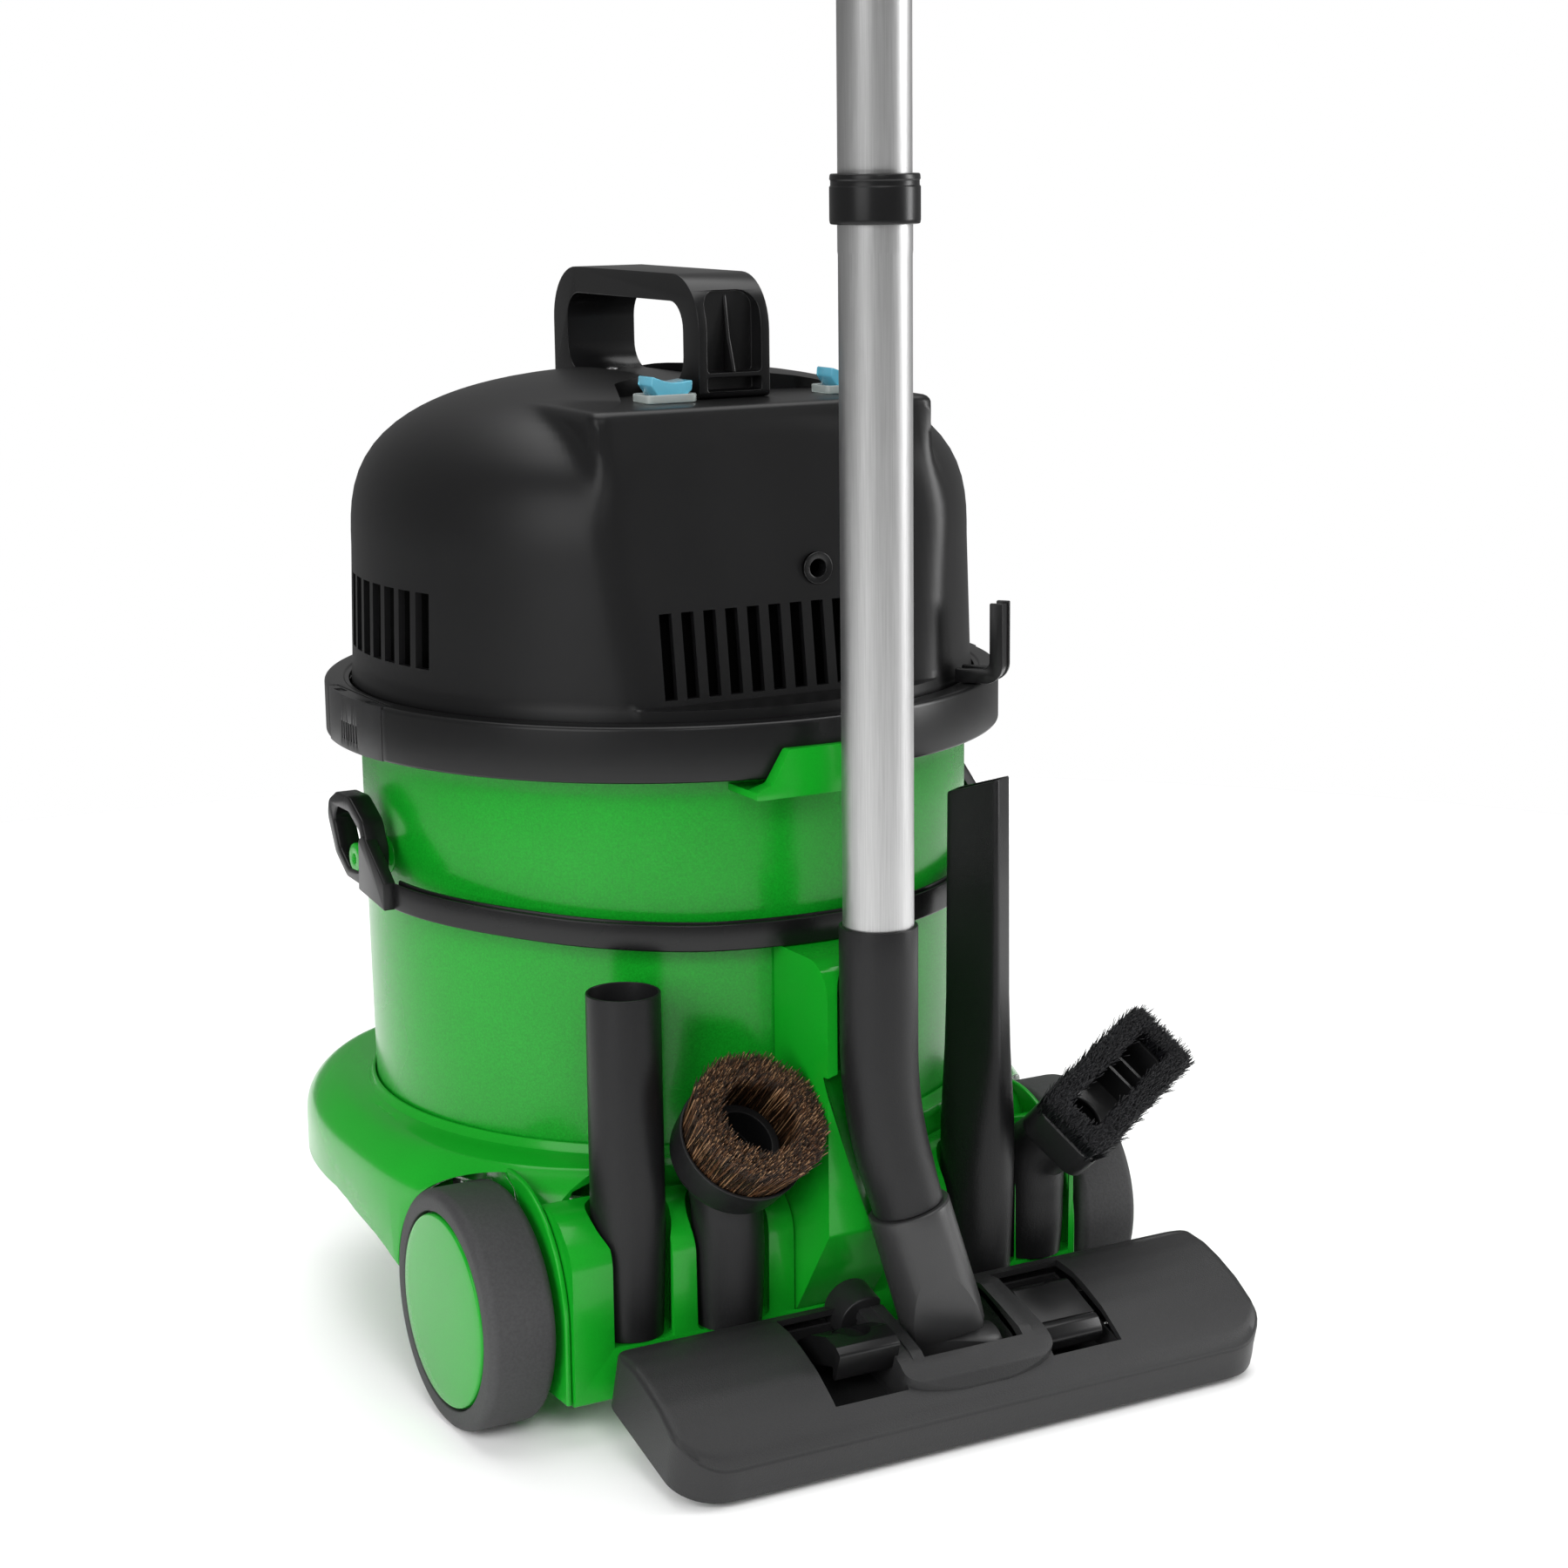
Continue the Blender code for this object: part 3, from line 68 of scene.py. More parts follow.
def area(name, place, target, size, power, glossy=True):
    data = bpy.data.lights.new(name, "AREA")
    data.shape = "RECTANGLE"
    data.size, data.size_y = size
    data.energy = power
    lamp = bpy.data.objects.new(name, data)
    lamp.location = place
    lamp.rotation_euler = (Vector(target) - Vector(place)).to_track_quat("-Z", "Y").to_euler()
    lamp.visible_glossy = glossy
    bpy.context.collection.objects.link(lamp)


def studio():
    scene = bpy.context.scene
    scene.view_settings.view_transform = "Standard"
    scene.view_settings.look = "None"
    world = bpy.data.worlds.new("studio")
    scene.world = world
    world.use_nodes = True
    tree = world.node_tree
    tree.nodes.clear()
    out = tree.nodes.new("ShaderNodeOutputWorld")
    mix = tree.nodes.new("ShaderNodeMixShader")
    seen = tree.nodes.new("ShaderNodeBackground")
    lit = tree.nodes.new("ShaderNodeBackground")
    path = tree.nodes.new("ShaderNodeLightPath")
    seen.inputs[0].default_value = (1, 1, 1, 1)
    seen.inputs[1].default_value = 1.0
    lit.inputs[0].default_value = (1, 1, 1, 1)
    lit.inputs[1].default_value = 0.22
    tree.links.new(path.outputs["Is Camera Ray"], mix.inputs[0])
    tree.links.new(lit.outputs[0], mix.inputs[1])
    tree.links.new(seen.outputs[0], mix.inputs[2])
    tree.links.new(mix.outputs[0], out.inputs[0])
    area("left", (2.3, 1.2, 1.1), (0, 0, 0.25), (1.3, 1.9), 44, glossy=False)
    area("left_gloss", (2.3, 1.3, 1.3), (0, 0, 0.25), (1.6, 2.0), 20)
    area("front", (1.0, 2.5, 2.0), (0, 0, 0.3), (1.3, 0.9), 26, glossy=False)
    area("front_gloss", (0.7, 2.6, 2.0), (0, 0, 0.3), (0.8, 0.8), 7)
    area("right", (-2.0, 1.0, 0.9), (0, 0, 0.3), (0.6, 1.6), 30)
    area("top", (-0.3, -0.3, 3.0), (0, 0, 0), (3.0, 3.0), 66)
    area("behind", (-0.6, -2.3, 1.5), (0, 0, 0.3), (2.0, 1.2), 26, glossy=False)
    shape = bmesh.new()
    bmesh.ops.create_circle(shape, cap_ends=True, segments=128, radius=1.3)
    mesh = bpy.data.meshes.new("floor")
    shape.to_mesh(mesh)
    shape.free()
    floor = bpy.data.objects.new("floor", mesh)
    floor.location = (0, 0, -0.0002)
    bpy.context.collection.objects.link(floor)
    paint = bpy.data.materials.new("floor_white")
    paint.use_nodes = True
    shader = paint.node_tree.nodes["Principled BSDF"]
    shader.inputs["Base Color"].default_value = (0.97, 0.97, 0.97, 1)
    shader.inputs["Roughness"].default_value = 0.9
    shader.inputs["Specular IOR Level"].default_value = 0.1
    mesh.materials.append(paint)


# ---------------------------------------------------------------- materials
def node(tree, kind, **values):
    made = tree.nodes.new(kind)
    for name, value in values.items():
        if name.startswith("in_"):
            made.inputs[name[3:].replace("_", " ")].default_value = value
        else:
            setattr(made, name, value)
    return made


def plastic(name, dark, light, rough, grain=0.0, grain_scale=900.0, mottle=6.0, coat=0.0, coat_rough=0.05,
        metallic=0.0,
        rough_vary=0.08, stretch=None, specular=0.5, edge=0.0, transmission=0.0, speck=0.0):
    """Moulded finish: slow colour drift between two tones, roughness variation, and a fine moulded grain."""
    made = bpy.data.materials.new(name)
    made.use_nodes = True
    tree = made.node_tree
    shader = tree.nodes["Principled BSDF"]
    shader.inputs["Metallic"].default_value = metallic
    shader.inputs["Coat Weight"].default_value = coat
    shader.inputs["Coat Roughness"].default_value = coat_rough
    shader.inputs["Specular IOR Level"].default_value = specular
    shader.inputs["Transmission Weight"].default_value = transmission
    coords = node(tree, "ShaderNodeTexCoord")
    mapping = node(tree, "ShaderNodeMapping")
    mapping.inputs["Scale"].default_value = stretch or (1, 1, 1)
    tree.links.new(coords.outputs["Object"], mapping.inputs["Vector"])
    drift = node(tree, "ShaderNodeTexNoise", in_Scale=mottle, in_Detail=3.0)
    tree.links.new(mapping.outputs[0], drift.inputs["Vector"])
    ramp = node(tree, "ShaderNodeValToRGB")
    ramp.color_ramp.elements[0].position = 0.3
    ramp.color_ramp.elements[0].color = (*dark, 1)
    ramp.color_ramp.elements[1].position = 0.7
    ramp.color_ramp.elements[1].color = (*light, 1)
    tree.links.new(drift.outputs["Fac"], ramp.inputs["Fac"])
    colour = ramp.outputs["Color"]
    fine = node(tree, "ShaderNodeTexNoise", in_Scale=grain_scale, in_Detail=4.0, in_Roughness=0.6)
    tree.links.new(mapping.outputs[0], fine.inputs["Vector"])
    if speck > 0:
        spread = node(tree, "ShaderNodeMapRange")
        spread.inputs["From Min"].default_value = 0.35
        spread.inputs["From Max"].default_value = 0.65
        spread.inputs["To Min"].default_value = 1 - speck
        spread.inputs["To Max"].default_value = 1 + speck
        tree.links.new(fine.outputs["Fac"], spread.inputs["Value"])
        scale = node(tree, "ShaderNodeMix", data_type="RGBA", blend_type="MULTIPLY")
        scale.inputs["Factor"].default_value = 1.0
        tree.links.new(colour, scale.inputs["A"])
        tree.links.new(spread.outputs[0], scale.inputs["B"])
        colour = scale.outputs["Result"]
    # painted highlight: with edge > 0, convex edges (high pointiness) get a paler colour standing in for
    # light catching the edges
    if edge > 0:
        edge_highlight_geo = node(tree, "ShaderNodeNewGeometry")
        pick = node(tree, "ShaderNodeMapRange")
        pick.inputs["From Min"].default_value = 0.52
        pick.inputs["From Max"].default_value = 0.62
        tree.links.new(edge_highlight_geo.outputs["Pointiness"], pick.inputs["Value"])
        pale = node(tree, "ShaderNodeMix", data_type="RGBA")
        pale.inputs["B"].default_value = (*[min(1.0, c * 1.8 + edge) for c in light], 1)
        soft = node(tree, "ShaderNodeMath", operation="MULTIPLY")
        soft.inputs[1].default_value = 0.5
        tree.links.new(pick.outputs[0], soft.inputs[0])
        tree.links.new(soft.outputs[0], pale.inputs["Factor"])
        tree.links.new(colour, pale.inputs["A"])
        colour = pale.outputs["Result"]
    tree.links.new(colour, shader.inputs["Base Color"])
    vary = node(tree, "ShaderNodeMapRange")
    vary.inputs["To Min"].default_value = max(0.02, rough - rough_vary)
    vary.inputs["To Max"].default_value = rough + rough_vary
    tree.links.new(drift.outputs["Fac"], vary.inputs["Value"])
    tree.links.new(vary.outputs[0], shader.inputs["Roughness"])
    if grain > 0:
        bump = node(tree, "ShaderNodeBump")
        bump.inputs["Strength"].default_value = grain
        bump.inputs["Distance"].default_value = 0.0004
        tree.links.new(fine.outputs["Fac"], bump.inputs["Height"])
        tree.links.new(bump.outputs[0], shader.inputs["Normal"])
    return made


MAT = {}


def materials():
    MAT["green"] = plastic("green_gloss", (0.003, 0.24, 0.01), (0.006, 0.28, 0.014), 0.22, grain=0.05,
            grain_scale=1400,
            coat=0.15, coat_rough=0.06, speck=0.05, specular=0.3)
    MAT["green_drum"] = plastic("green_drum", (0.003, 0.215, 0.01), (0.006, 0.26, 0.015), 0.26, grain=0.14,
            grain_scale=1100, coat=0.15, coat_rough=0.1, speck=0.18, specular=0.28)
    MAT["black"] = plastic("black_gloss", (0.0035, 0.0035, 0.0037), (0.0055, 0.0055, 0.0058), 0.29,
            grain=0.03,
            grain_scale=1200, specular=0.36)
    MAT["black_dome"] = plastic("black_dome", (0.003, 0.003, 0.0032), (0.0048, 0.0048, 0.0051), 0.37,
            grain=0.04,
            grain_scale=1200, specular=0.34)
    MAT["neck_grey"] = plastic("neck_grey", (0.017, 0.017, 0.0175), (0.024, 0.024, 0.0245), 0.34, grain=0.15,
            grain_scale=1500, specular=0.5)
    MAT["black_satin"] = plastic("black_satin", (0.0075, 0.0075, 0.008), (0.0125, 0.0125, 0.013), 0.33,
            grain=0.1,
            grain_scale=1500)
    MAT["dark"] = plastic("dark_textured", (0.012, 0.012, 0.0125), (0.0185, 0.0185, 0.019), 0.44, grain=0.4,
            grain_scale=1300, speck=0.12, specular=0.4)
    MAT["tube_black"] = plastic("tube_black", (0.0068, 0.0068, 0.0072), (0.0105, 0.0105, 0.011), 0.4,
            grain=0.2,
            grain_scale=1500, speck=0.08, specular=0.3)
    MAT["rubber"] = plastic("tyre_rubber", (0.028, 0.028, 0.029), (0.05, 0.05, 0.051), 0.62, grain=0.35,
            grain_scale=700, rough_vary=0.12, specular=0.35, speck=0.12)
    MAT["steel"] = plastic("satin_tube", (0.5, 0.5, 0.5), (0.6, 0.6, 0.6), 0.42, grain=0.06, grain_scale=260,
            mottle=40, metallic=1.0, stretch=(60, 60, 0.7), rough_vary=0.05)
    MAT["blue"] = plastic("switch_blue", (0.1, 0.44, 0.6), (0.2, 0.6, 0.76), 0.12, grain=0.02, coat=0.6,
            transmission=0.35)
    MAT["clear"] = plastic("switch_clear", (0.5, 0.56, 0.54), (0.62, 0.66, 0.64), 0.14, transmission=0.6,
            coat=0.3)
    # painted shade: near-black, very rough colour for the sheet that stands in for the shade behind the vent
    # slots
    MAT["vent_shade"] = plastic("vent_painted_shade", (0.0006, 0.0006, 0.0006), (0.0012, 0.0012, 0.0012), 0.85,
            specular=0.05)
    MAT["white"] = plastic("cloth_white", (0.6, 0.6, 0.57), (0.75, 0.75, 0.72), 0.85, grain=0.6,
            grain_scale=350)
    # the tan hair tone is a real bristle colour made brighter so that it also stands in for highlights on the
    # bristles
    for name, dark, light in (("hair_dark", (0.012, 0.007, 0.004), (0.03, 0.016, 0.009)),
            ("hair_brown", (0.075, 0.034, 0.015), (0.14, 0.062, 0.027)),
            ("hair_tan", (0.26, 0.135, 0.062), (0.42, 0.25, 0.13)),
            ("pile_black", (0.004, 0.004, 0.005), (0.012, 0.012, 0.014))):
        MAT[name] = plastic(name, dark, light, 0.45, grain=0.0, mottle=300, rough_vary=0.1)
    slots = {"gloss_green": "green", "gloss_black": "black", "dark_plastic": "dark", "grey_rubber": "rubber",
            "satin_tube": "steel", "switch_blue": "blue", "brush_hair": "hair_dark", "filter_white": "white"}
    for part in frame["record"]["subparts"]:
        item = frame["nodes"][part["node"]]
        item.data.materials.clear()
        item.data.materials.append(MAT[slots[part["material_slot"]]])


# ---------------------------------------------------------------- pieces
def piece(name, shape, mat, body, replaces=(), sharp=32.0, bevel=0.0, steps=2, cuts=(), joins=(), limit=38.0):
    """Object from a body drawn in the drum's frame."""
    bmesh.ops.recalc_face_normals(shape, faces=shape.faces)
    if shape.calc_volume(signed=True) < 0:
        bmesh.ops.reverse_faces(shape, faces=shape.faces)
    bmesh.ops.translate(shape, verts=shape.verts, vec=SHIFT)
    mesh = bpy.data.meshes.new(name)
    shape.to_mesh(mesh)
    shape.free()
    made = bpy.data.objects.new(name, mesh)
    bpy.context.collection.objects.link(made)
    for kind, tools in (("UNION", joins), ("DIFFERENCE", cuts)):
        for tool in tools:
            helper = as_tool(tool)
            step = made.modifiers.new(kind.title(), "BOOLEAN")
            step.operation = kind
            step.object = helper
            step.solver = "EXACT"
            bake(made)
            bpy.data.objects.remove(helper, do_unlink=True)
    if bevel > 0:
        step = made.modifiers.new("Edges", "BEVEL")
        step.width = bevel
        step.segments = steps
        step.limit_method = "ANGLE"
        step.angle_limit = math.radians(limit)
        step.use_clamp_overlap = True
        step.harden_normals = False
        step.miter_outer = "MITER_ARC"
        bake(made)
    made.data.shade_smooth()
    made.data.set_sharp_from_angle(angle=math.radians(sharp))
    made.data.materials.clear()
    made.data.materials.append(MAT[mat])
    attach(made, body)
    if replaces:
        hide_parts(*replaces)
    return made


def as_tool(shape):
    bmesh.ops.recalc_face_normals(shape, faces=shape.faces)
    if shape.calc_volume(signed=True) < 0:
        bmesh.ops.reverse_faces(shape, faces=shape.faces)
    bmesh.ops.translate(shape, verts=shape.verts, vec=SHIFT)
    mesh = bpy.data.meshes.new("tool")
    shape.to_mesh(mesh)
    shape.free()
    helper = bpy.data.objects.new("tool", mesh)
    bpy.context.collection.objects.link(helper)
    return helper


def bake(item):
    """Applies the modifiers to the mesh."""
    graph = bpy.context.evaluated_depsgraph_get()
    fresh = bpy.data.meshes.new_from_object(item.evaluated_get(graph), depsgraph=graph)
    item.modifiers.clear()
    item.data = fresh


def loft(rings, closed=False):
    shape = bmesh.new()
    rows = [[shape.verts.new(point) for point in ring] for ring in rings]
    pairs = list(zip(rows, rows[1:]))
    if closed:
        pairs.append((rows[-1], rows[0]))
    for low, high in pairs:
        count = max(len(low), len(high))
        for i in range(count):
            j = (i + 1) % count
            corners = []
            for corner in (low[i % len(low)], low[j % len(low)], high[j % len(high)], high[i % len(high)]):
                if corner not in corners:
                    corners.append(corner)
            shape.faces.new(corners)
    if not closed:
        for row in (rows[0], rows[-1]):
            if len(row) > 2:
                shape.faces.new(row)
    return shape


def soften(points, closed=True, steps=4):
    """Rounds the corners of an outline: each point is (a, b) or (a, b, radius)."""
    out = []
    count = len(points)
    for i, point in enumerate(points):
        here = Vector(point[:2])
        radius = point[2] if len(point) > 2 else 0.0
        if radius <= 0 or (not closed and i in (0, count - 1)):
            out.append(tuple(here))
            continue
        before, after = Vector(points[i - 1][:2]), Vector(points[(i + 1) % count][:2])
        a, b = (before - here), (after - here)
        angle = a.angle(b, math.pi)
        if angle > math.radians(176):
            out.append(tuple(here))
            continue
        reach = min(radius / math.tan(angle / 2), a.length * 0.49, b.length * 0.49)
        radius = reach * math.tan(angle / 2)
        start, end = here + a.normalized() * reach, here + b.normalized() * reach
        middle = here + (a.normalized() + b.normalized()).normalized() * (radius / math.sin(angle / 2))
        u, v = start - middle, end - middle
        span = u.angle(v, 0.0)
        for k in range(steps + 1):
            t = k / steps
            if span < 1e-4:
                out.append(tuple(start))
                break
            mixed = (math.sin((1 - t) * span) * u + math.sin(t * span) * v) / math.sin(span)
            out.append(tuple(middle + mixed))
    return out


def turned(outline, facets=96, origin=(0, 0, 0), axis="Z"):
    if isinstance(axis, str):
        turn = {"X": Matrix.Rotation(math.radians(90), 4, "Y"),
                "Y": Matrix.Rotation(math.radians(-90), 4, "X"),
                "Z": Matrix.Identity(4)}[axis]
    else:
        turn = Vector((0, 0, 1)).rotation_difference(axis).to_matrix().to_4x4()
    place = Matrix.Translation(origin) @ turn
    rings = []
    for radius, along in outline:
        count = 1 if radius < 1e-6 else facets
        angles = [TAU * k / count for k in range(count)]
        rings.append([place @ Vector((radius * math.cos(a), radius * math.sin(a), along)) for a in angles])
    on_axis = outline[0][0] < 1e-6 and outline[-1][0] < 1e-6
    return loft(rings, closed=not on_axis)


def rod(radius, start, end, facets=48):
    start, end = Vector(start), Vector(end)
    along = end - start
    return turned([(0, 0), (radius, 0), (radius, along.length), (0, along.length)], facets, start,
            along.normalized())


def prism(outline, axis, low, high):
    place = {"X": lambda a, b, t: (t, a, b), "Y": lambda a, b, t: (a, t, b), "Z": lambda a, b,
            t: (a, b, t)}[axis]
    return loft([[place(a, b, t) for a, b in outline] for t in (low, high)])


def box(low, high):
    return prism([(low[0], low[1]), (high[0], low[1]), (high[0], high[1]), (low[0], high[1])], "Z", low[2],
            high[2])


def rounded(low, high, radius, steps=6):
    corners = [(low[0], low[1]), (high[0], low[1]), (high[0], high[1]), (low[0], high[1])]
    return soften([(a, b, radius) for a, b in corners], steps=steps)


def smooth_path(points, count):
    """Points evenly along a Catmull-Rom curve through the given (x, y, z, outer, inner) rows."""
    rows = [tuple(p) for p in points]
    rows = [rows[0], *rows, rows[-1]]
    out = []
    spans = len(rows) - 3
    for i in range(count + 1):
        t = spans * i / count
        k = min(int(t), spans - 1)
        u = t - k
        p = rows[k:k + 4]
        out.append(tuple(0.5 * (2 * b + (c - a) * u + (2 * a - 5 * b + 4 * c - d) * u * u
                + (3 * b - a - 3 * c + d) * u ** 3)
                for a, b, c, d in zip(*p)))
    return out


def pipe(rows, facets=64):
    """Hollow tube through rows of (x, y, z, outer radius, inner radius)."""
    path = [Vector(row[:3]) for row in rows]
    frames = []
    for i, point in enumerate(path):
        along = (path[min(i + 1, len(path) - 1)] - path[max(i - 1, 0)]).normalized()
        side = Vector((0, 1, 0)).cross(along).normalized()
        frames.append((point, side, along.cross(side)))

    def ring(frame_, radius):
        point, side, up = frame_
        return [point + radius * (math.cos(TAU * k / facets) * side + math.sin(TAU * k / facets) * up)
                for k in range(facets)]

    outside = [ring(f, row[3]) for f, row in zip(frames, rows)]
    inside = [ring(f, row[4]) for f, row in zip(frames, rows)]
    return loft(outside + inside[::-1], closed=True)


def polar(rings, facets=192):
    rows = []
    for radius, height in rings:
        if not callable(radius) and radius == 0:
            rows.append([(0.0, 0.0, height)])
            continue
        row = []
        for k in range(facets):
            angle = TAU * (k + 0.5) / facets
            reach = radius(angle) if callable(radius) else radius
            row.append((reach * math.cos(angle), reach * math.sin(angle), height))
        rows.append(row)
    on_axis = len(rows[0]) == 1 and len(rows[-1]) == 1
    return loft(rows, closed=not on_axis)


def sides():
    return (("left", 1), ("right", -1))


def least(a, b, blend):
    """Smallest of two values, blended where they meet."""
    h = max(blend - abs(a - b), 0.0) / blend
    return min(a, b) - h * h * blend * 0.25


def most(a, b, blend):
    return -least(-a, -b, blend)


# ---------------------------------------------------------------- base
def skirt(inset=0.0, share=1.0):
    def reach(angle):
        depth = 0.16 if math.sin(angle) > 0 else 0.178
        across = abs(math.cos(angle) / 0.1735) ** 2.6
        along = abs(math.sin(angle) / depth) ** 2.6
        full = (across + along) ** (-1 / 2.6)
        return most(full * share - inset, 0.1526, 0.002)
    return reach


def skirt_between(crisp, smooth):
    """Skirt outline whose share is crisp towards the wheels and smooth at the front and sides."""
    def reach(angle):
        back = min(max((math.sin(angle) - 0.05) / 0.45, 0.0), 1.0)
        blend = back * back * (3 - 2 * back)
        return skirt(0.0, smooth + (crisp - smooth) * blend)(angle)
    return reach


def base():
    deck = 0.1178
    rings = [(0, 0.0955), (0.148, 0.0955), (0.1518, 0.0985), (0.1522, deck - 0.0032),
            (skirt(0.003, 0.94), deck - 0.0052),
            (skirt(0.003, 0.985), 0.108), (skirt(0.003), 0.098), (skirt(0.003), 0.06),
            (skirt(0.003, 0.955), 0.021),
            (skirt(0.0012, 0.955), 0.0206), (skirt(0.0, 0.955), 0.0215), (skirt(0.0, 0.985), 0.04),
            (skirt(), 0.06),
            (skirt(), 0.095)]
    for crisp, smooth, height in ((0.998, 0.998, 0.0985), (0.993, 0.993, 0.102), (0.984, 0.984, 0.1055),
            (0.971, 0.97, 0.109),
            (0.957, 0.955, 0.1118), (0.944, 0.938, 0.1142), (0.9345, 0.921, 0.1157),
            (0.93, 0.905, 0.1166),
            (0.9255, 0.89, 0.1171)):
        rings.append((skirt_between(crisp, smooth), height))
    rings += [(0.1545, deck), (0.1512, deck + 0.0012), (0.15, deck + 0.003),
            (0.1497, 0.1222), (0.1492, 0.1229), (0.1484, 0.123), (0.1477, 0.1226), (0.1475, 0.105),
            (0.142, 0.0985),
            (0, 0.0985)]
    inside = 0.1337
    edge_y = 0.129
    rim = 0.1528
    start = math.degrees(math.acos(edge_y / rim))
    arc = [(rim * math.cos(math.radians(90 + start * (1 - k / 16))),
            rim * math.sin(math.radians(90 + start * (1 - k / 16))))
           for k in range(33)]
    low_edge = [(-0.25, -0.01), (-0.25, 0.0762), (-0.02, 0.0762), (-0.005, 0.0742), (0.006, 0.0717),
            (0.018, 0.0697),
            (0.029, 0.0672), (0.038, 0.064), (0.0456, 0.0602), (0.053, 0.056), (0.06, 0.0517),
            (0.065, 0.047),
            (0.069, 0.041), (0.073, 0.032), (0.076, 0.02), (0.0775, -0.01)]
    cuts = [prism(low_edge, "X", -0.22, 0.22), box((-inside, 0.06, -0.01), (inside, 0.21, 0.0938)),
            prism([(-inside, edge_y), *arc, (inside, edge_y), (inside, 0.21), (-inside, 0.21)], "Z", 0.0937,
            0.14)]
    for _, sign in sides():
        cuts.append(rod(0.0585, (sign * 0.1365, 0.109, 0.0555), (sign * 0.22, 0.109, 0.0555), 96))
        low, high = sorted((sign * 0.1365, sign * 0.22))
        cuts.append(box((low, 0.118, -0.01), (high, 0.21, 0.14)))
    piece("chassis_shell", polar(rings), "green", "base", ("chassis",), cuts=cuts, bevel=0.0007, steps=2,
          limit=55)
    cheek = [(0.109 + 0.054 * math.cos(math.radians(6 * k)), 0.0555 + 0.0598 * math.sin(math.radians(6 * k)))
            for k in range(16)]
    for side, sign in sides():
        outline = [(0.0762, 0.021), (0.163, 0.021), *cheek, (0.079, 0.115), (0.079, 0.094), (0.048, 0.094),
                (0.048, 0.06)]
        piece(f"arch_cheek_{side}", prism(outline, "X", *sorted((sign * 0.1337, sign * 0.1364))), "green",
              "base",
              bevel=0.0009, steps=3)
        piece(f"axle_boss_{side}", turned(soften([(0.0054, sign * 0.1192), (0.011, sign * 0.1192, 0.001),
                (0.011, sign * 0.134),
                (0.0054, sign * 0.134)]), 48, (0, 0.109, 0.0555), "X"),
              "green", "base")
        piece(f"castor_socket_{side}", turned(soften([(0.0049, 0.0502), (0.01, 0.0502, 0.001),
                (0.0105, 0.095),
                (0.0049, 0.095)]), 48, (sign * 0.085, -0.1, 0)),
              "green", "base")
    ribs = 10
    for k in range(ribs):
        angle = TAU * (k + 0.5) / ribs
        if math.sin(angle) > 0.55:
            continue
        reach = skirt(0.0045, 0.97)(angle)
        shape = prism([(0.147, 0.095), (reach, 0.095), (reach, 0.079), (0.147, 0.086)], "Y", -0.0011, 0.0011)
        bmesh.ops.rotate(shape, verts=shape.verts, matrix=Matrix.Rotation(angle, 3, "Z"))
        piece(f"skirt_rib_{k}", shape, "green", "base")


TOOLS = {"adaptor": (0.0985, 0.151), "dusting": (0.053, 0.161), "crevice": (-0.081, 0.1615),
        "upholstery": (-0.1155, 0.154)}


def caddy():
    side = soften([(0.1293, 0.0205), (0.1655, 0.0205, 0.002), (0.1655, 0.09, 0.02), (0.15, 0.1056, 0.018),
            (0.1293, 0.1056, 0.002)], steps=8)
    cuts = [turned([(0, 0.094), (0.1532, 0.094), (0.1532, 0.14), (0, 0.14)], 192)]
    for x, y in TOOLS.values():
        cuts.append(turned(soften([(0, 0.045), (0.019, 0.045, 0.003), (0.0196, 0.13), (0, 0.13)],
                closed=False), 96, (x, y, 0)))
        cuts.append(box((x - 0.015, y, 0.0452), (x + 0.015, 0.2, 0.13)))
    cuts.append(box((-0.0212, 0.1, 0.045), (0.0212, 0.2, 0.13)))
    joins = [turned(soften([(0, 0.041), (0.0128, 0.041), (0.0128, 0.075, 0.002), (0, 0.075)], closed=False),
            64, (x, y, 0))
            for x, y in TOOLS.values()]
    piece("caddy_shell", prism(side, "X", -0.1333, 0.1333), "green", "base", ("tool_caddy",), cuts=cuts,
          bevel=0.001, steps=3)
    for name, shape in zip(TOOLS, joins):
        piece(f"spigot_{name}", shape, "green", "base")


def dock():
    side = soften([(0.13, 0.0958), (0.156, 0.0958), (0.156, 0.0454), (0.166, 0.0454), (0.197, 0.09, 0.006),
            (0.197, 0.216, 0.016), (0.13, 0.216, 0.002)], steps=8)
    bend = Vector((0, WAND_Y, 0.15))
    down = neck_direction()
    cuts = [rod(0.1494, (0, 0, 0.12), (0, 0, 0.24), 256), rod(0.1534, (0, 0, 0.05), (0, 0, 0.124), 256),
            rod(0.0185, (0, WAND_Y, 0.15), (0, WAND_Y, 0.24), 96),
            rod(0.0205, bend - down * 0.02, bend + down * 0.13, 96)]
    piece("dock_column", prism(side, "X", -0.0205, 0.0205), "green", "base", ("wand_dock",), cuts=cuts,
          bevel=0.0032, steps=4)


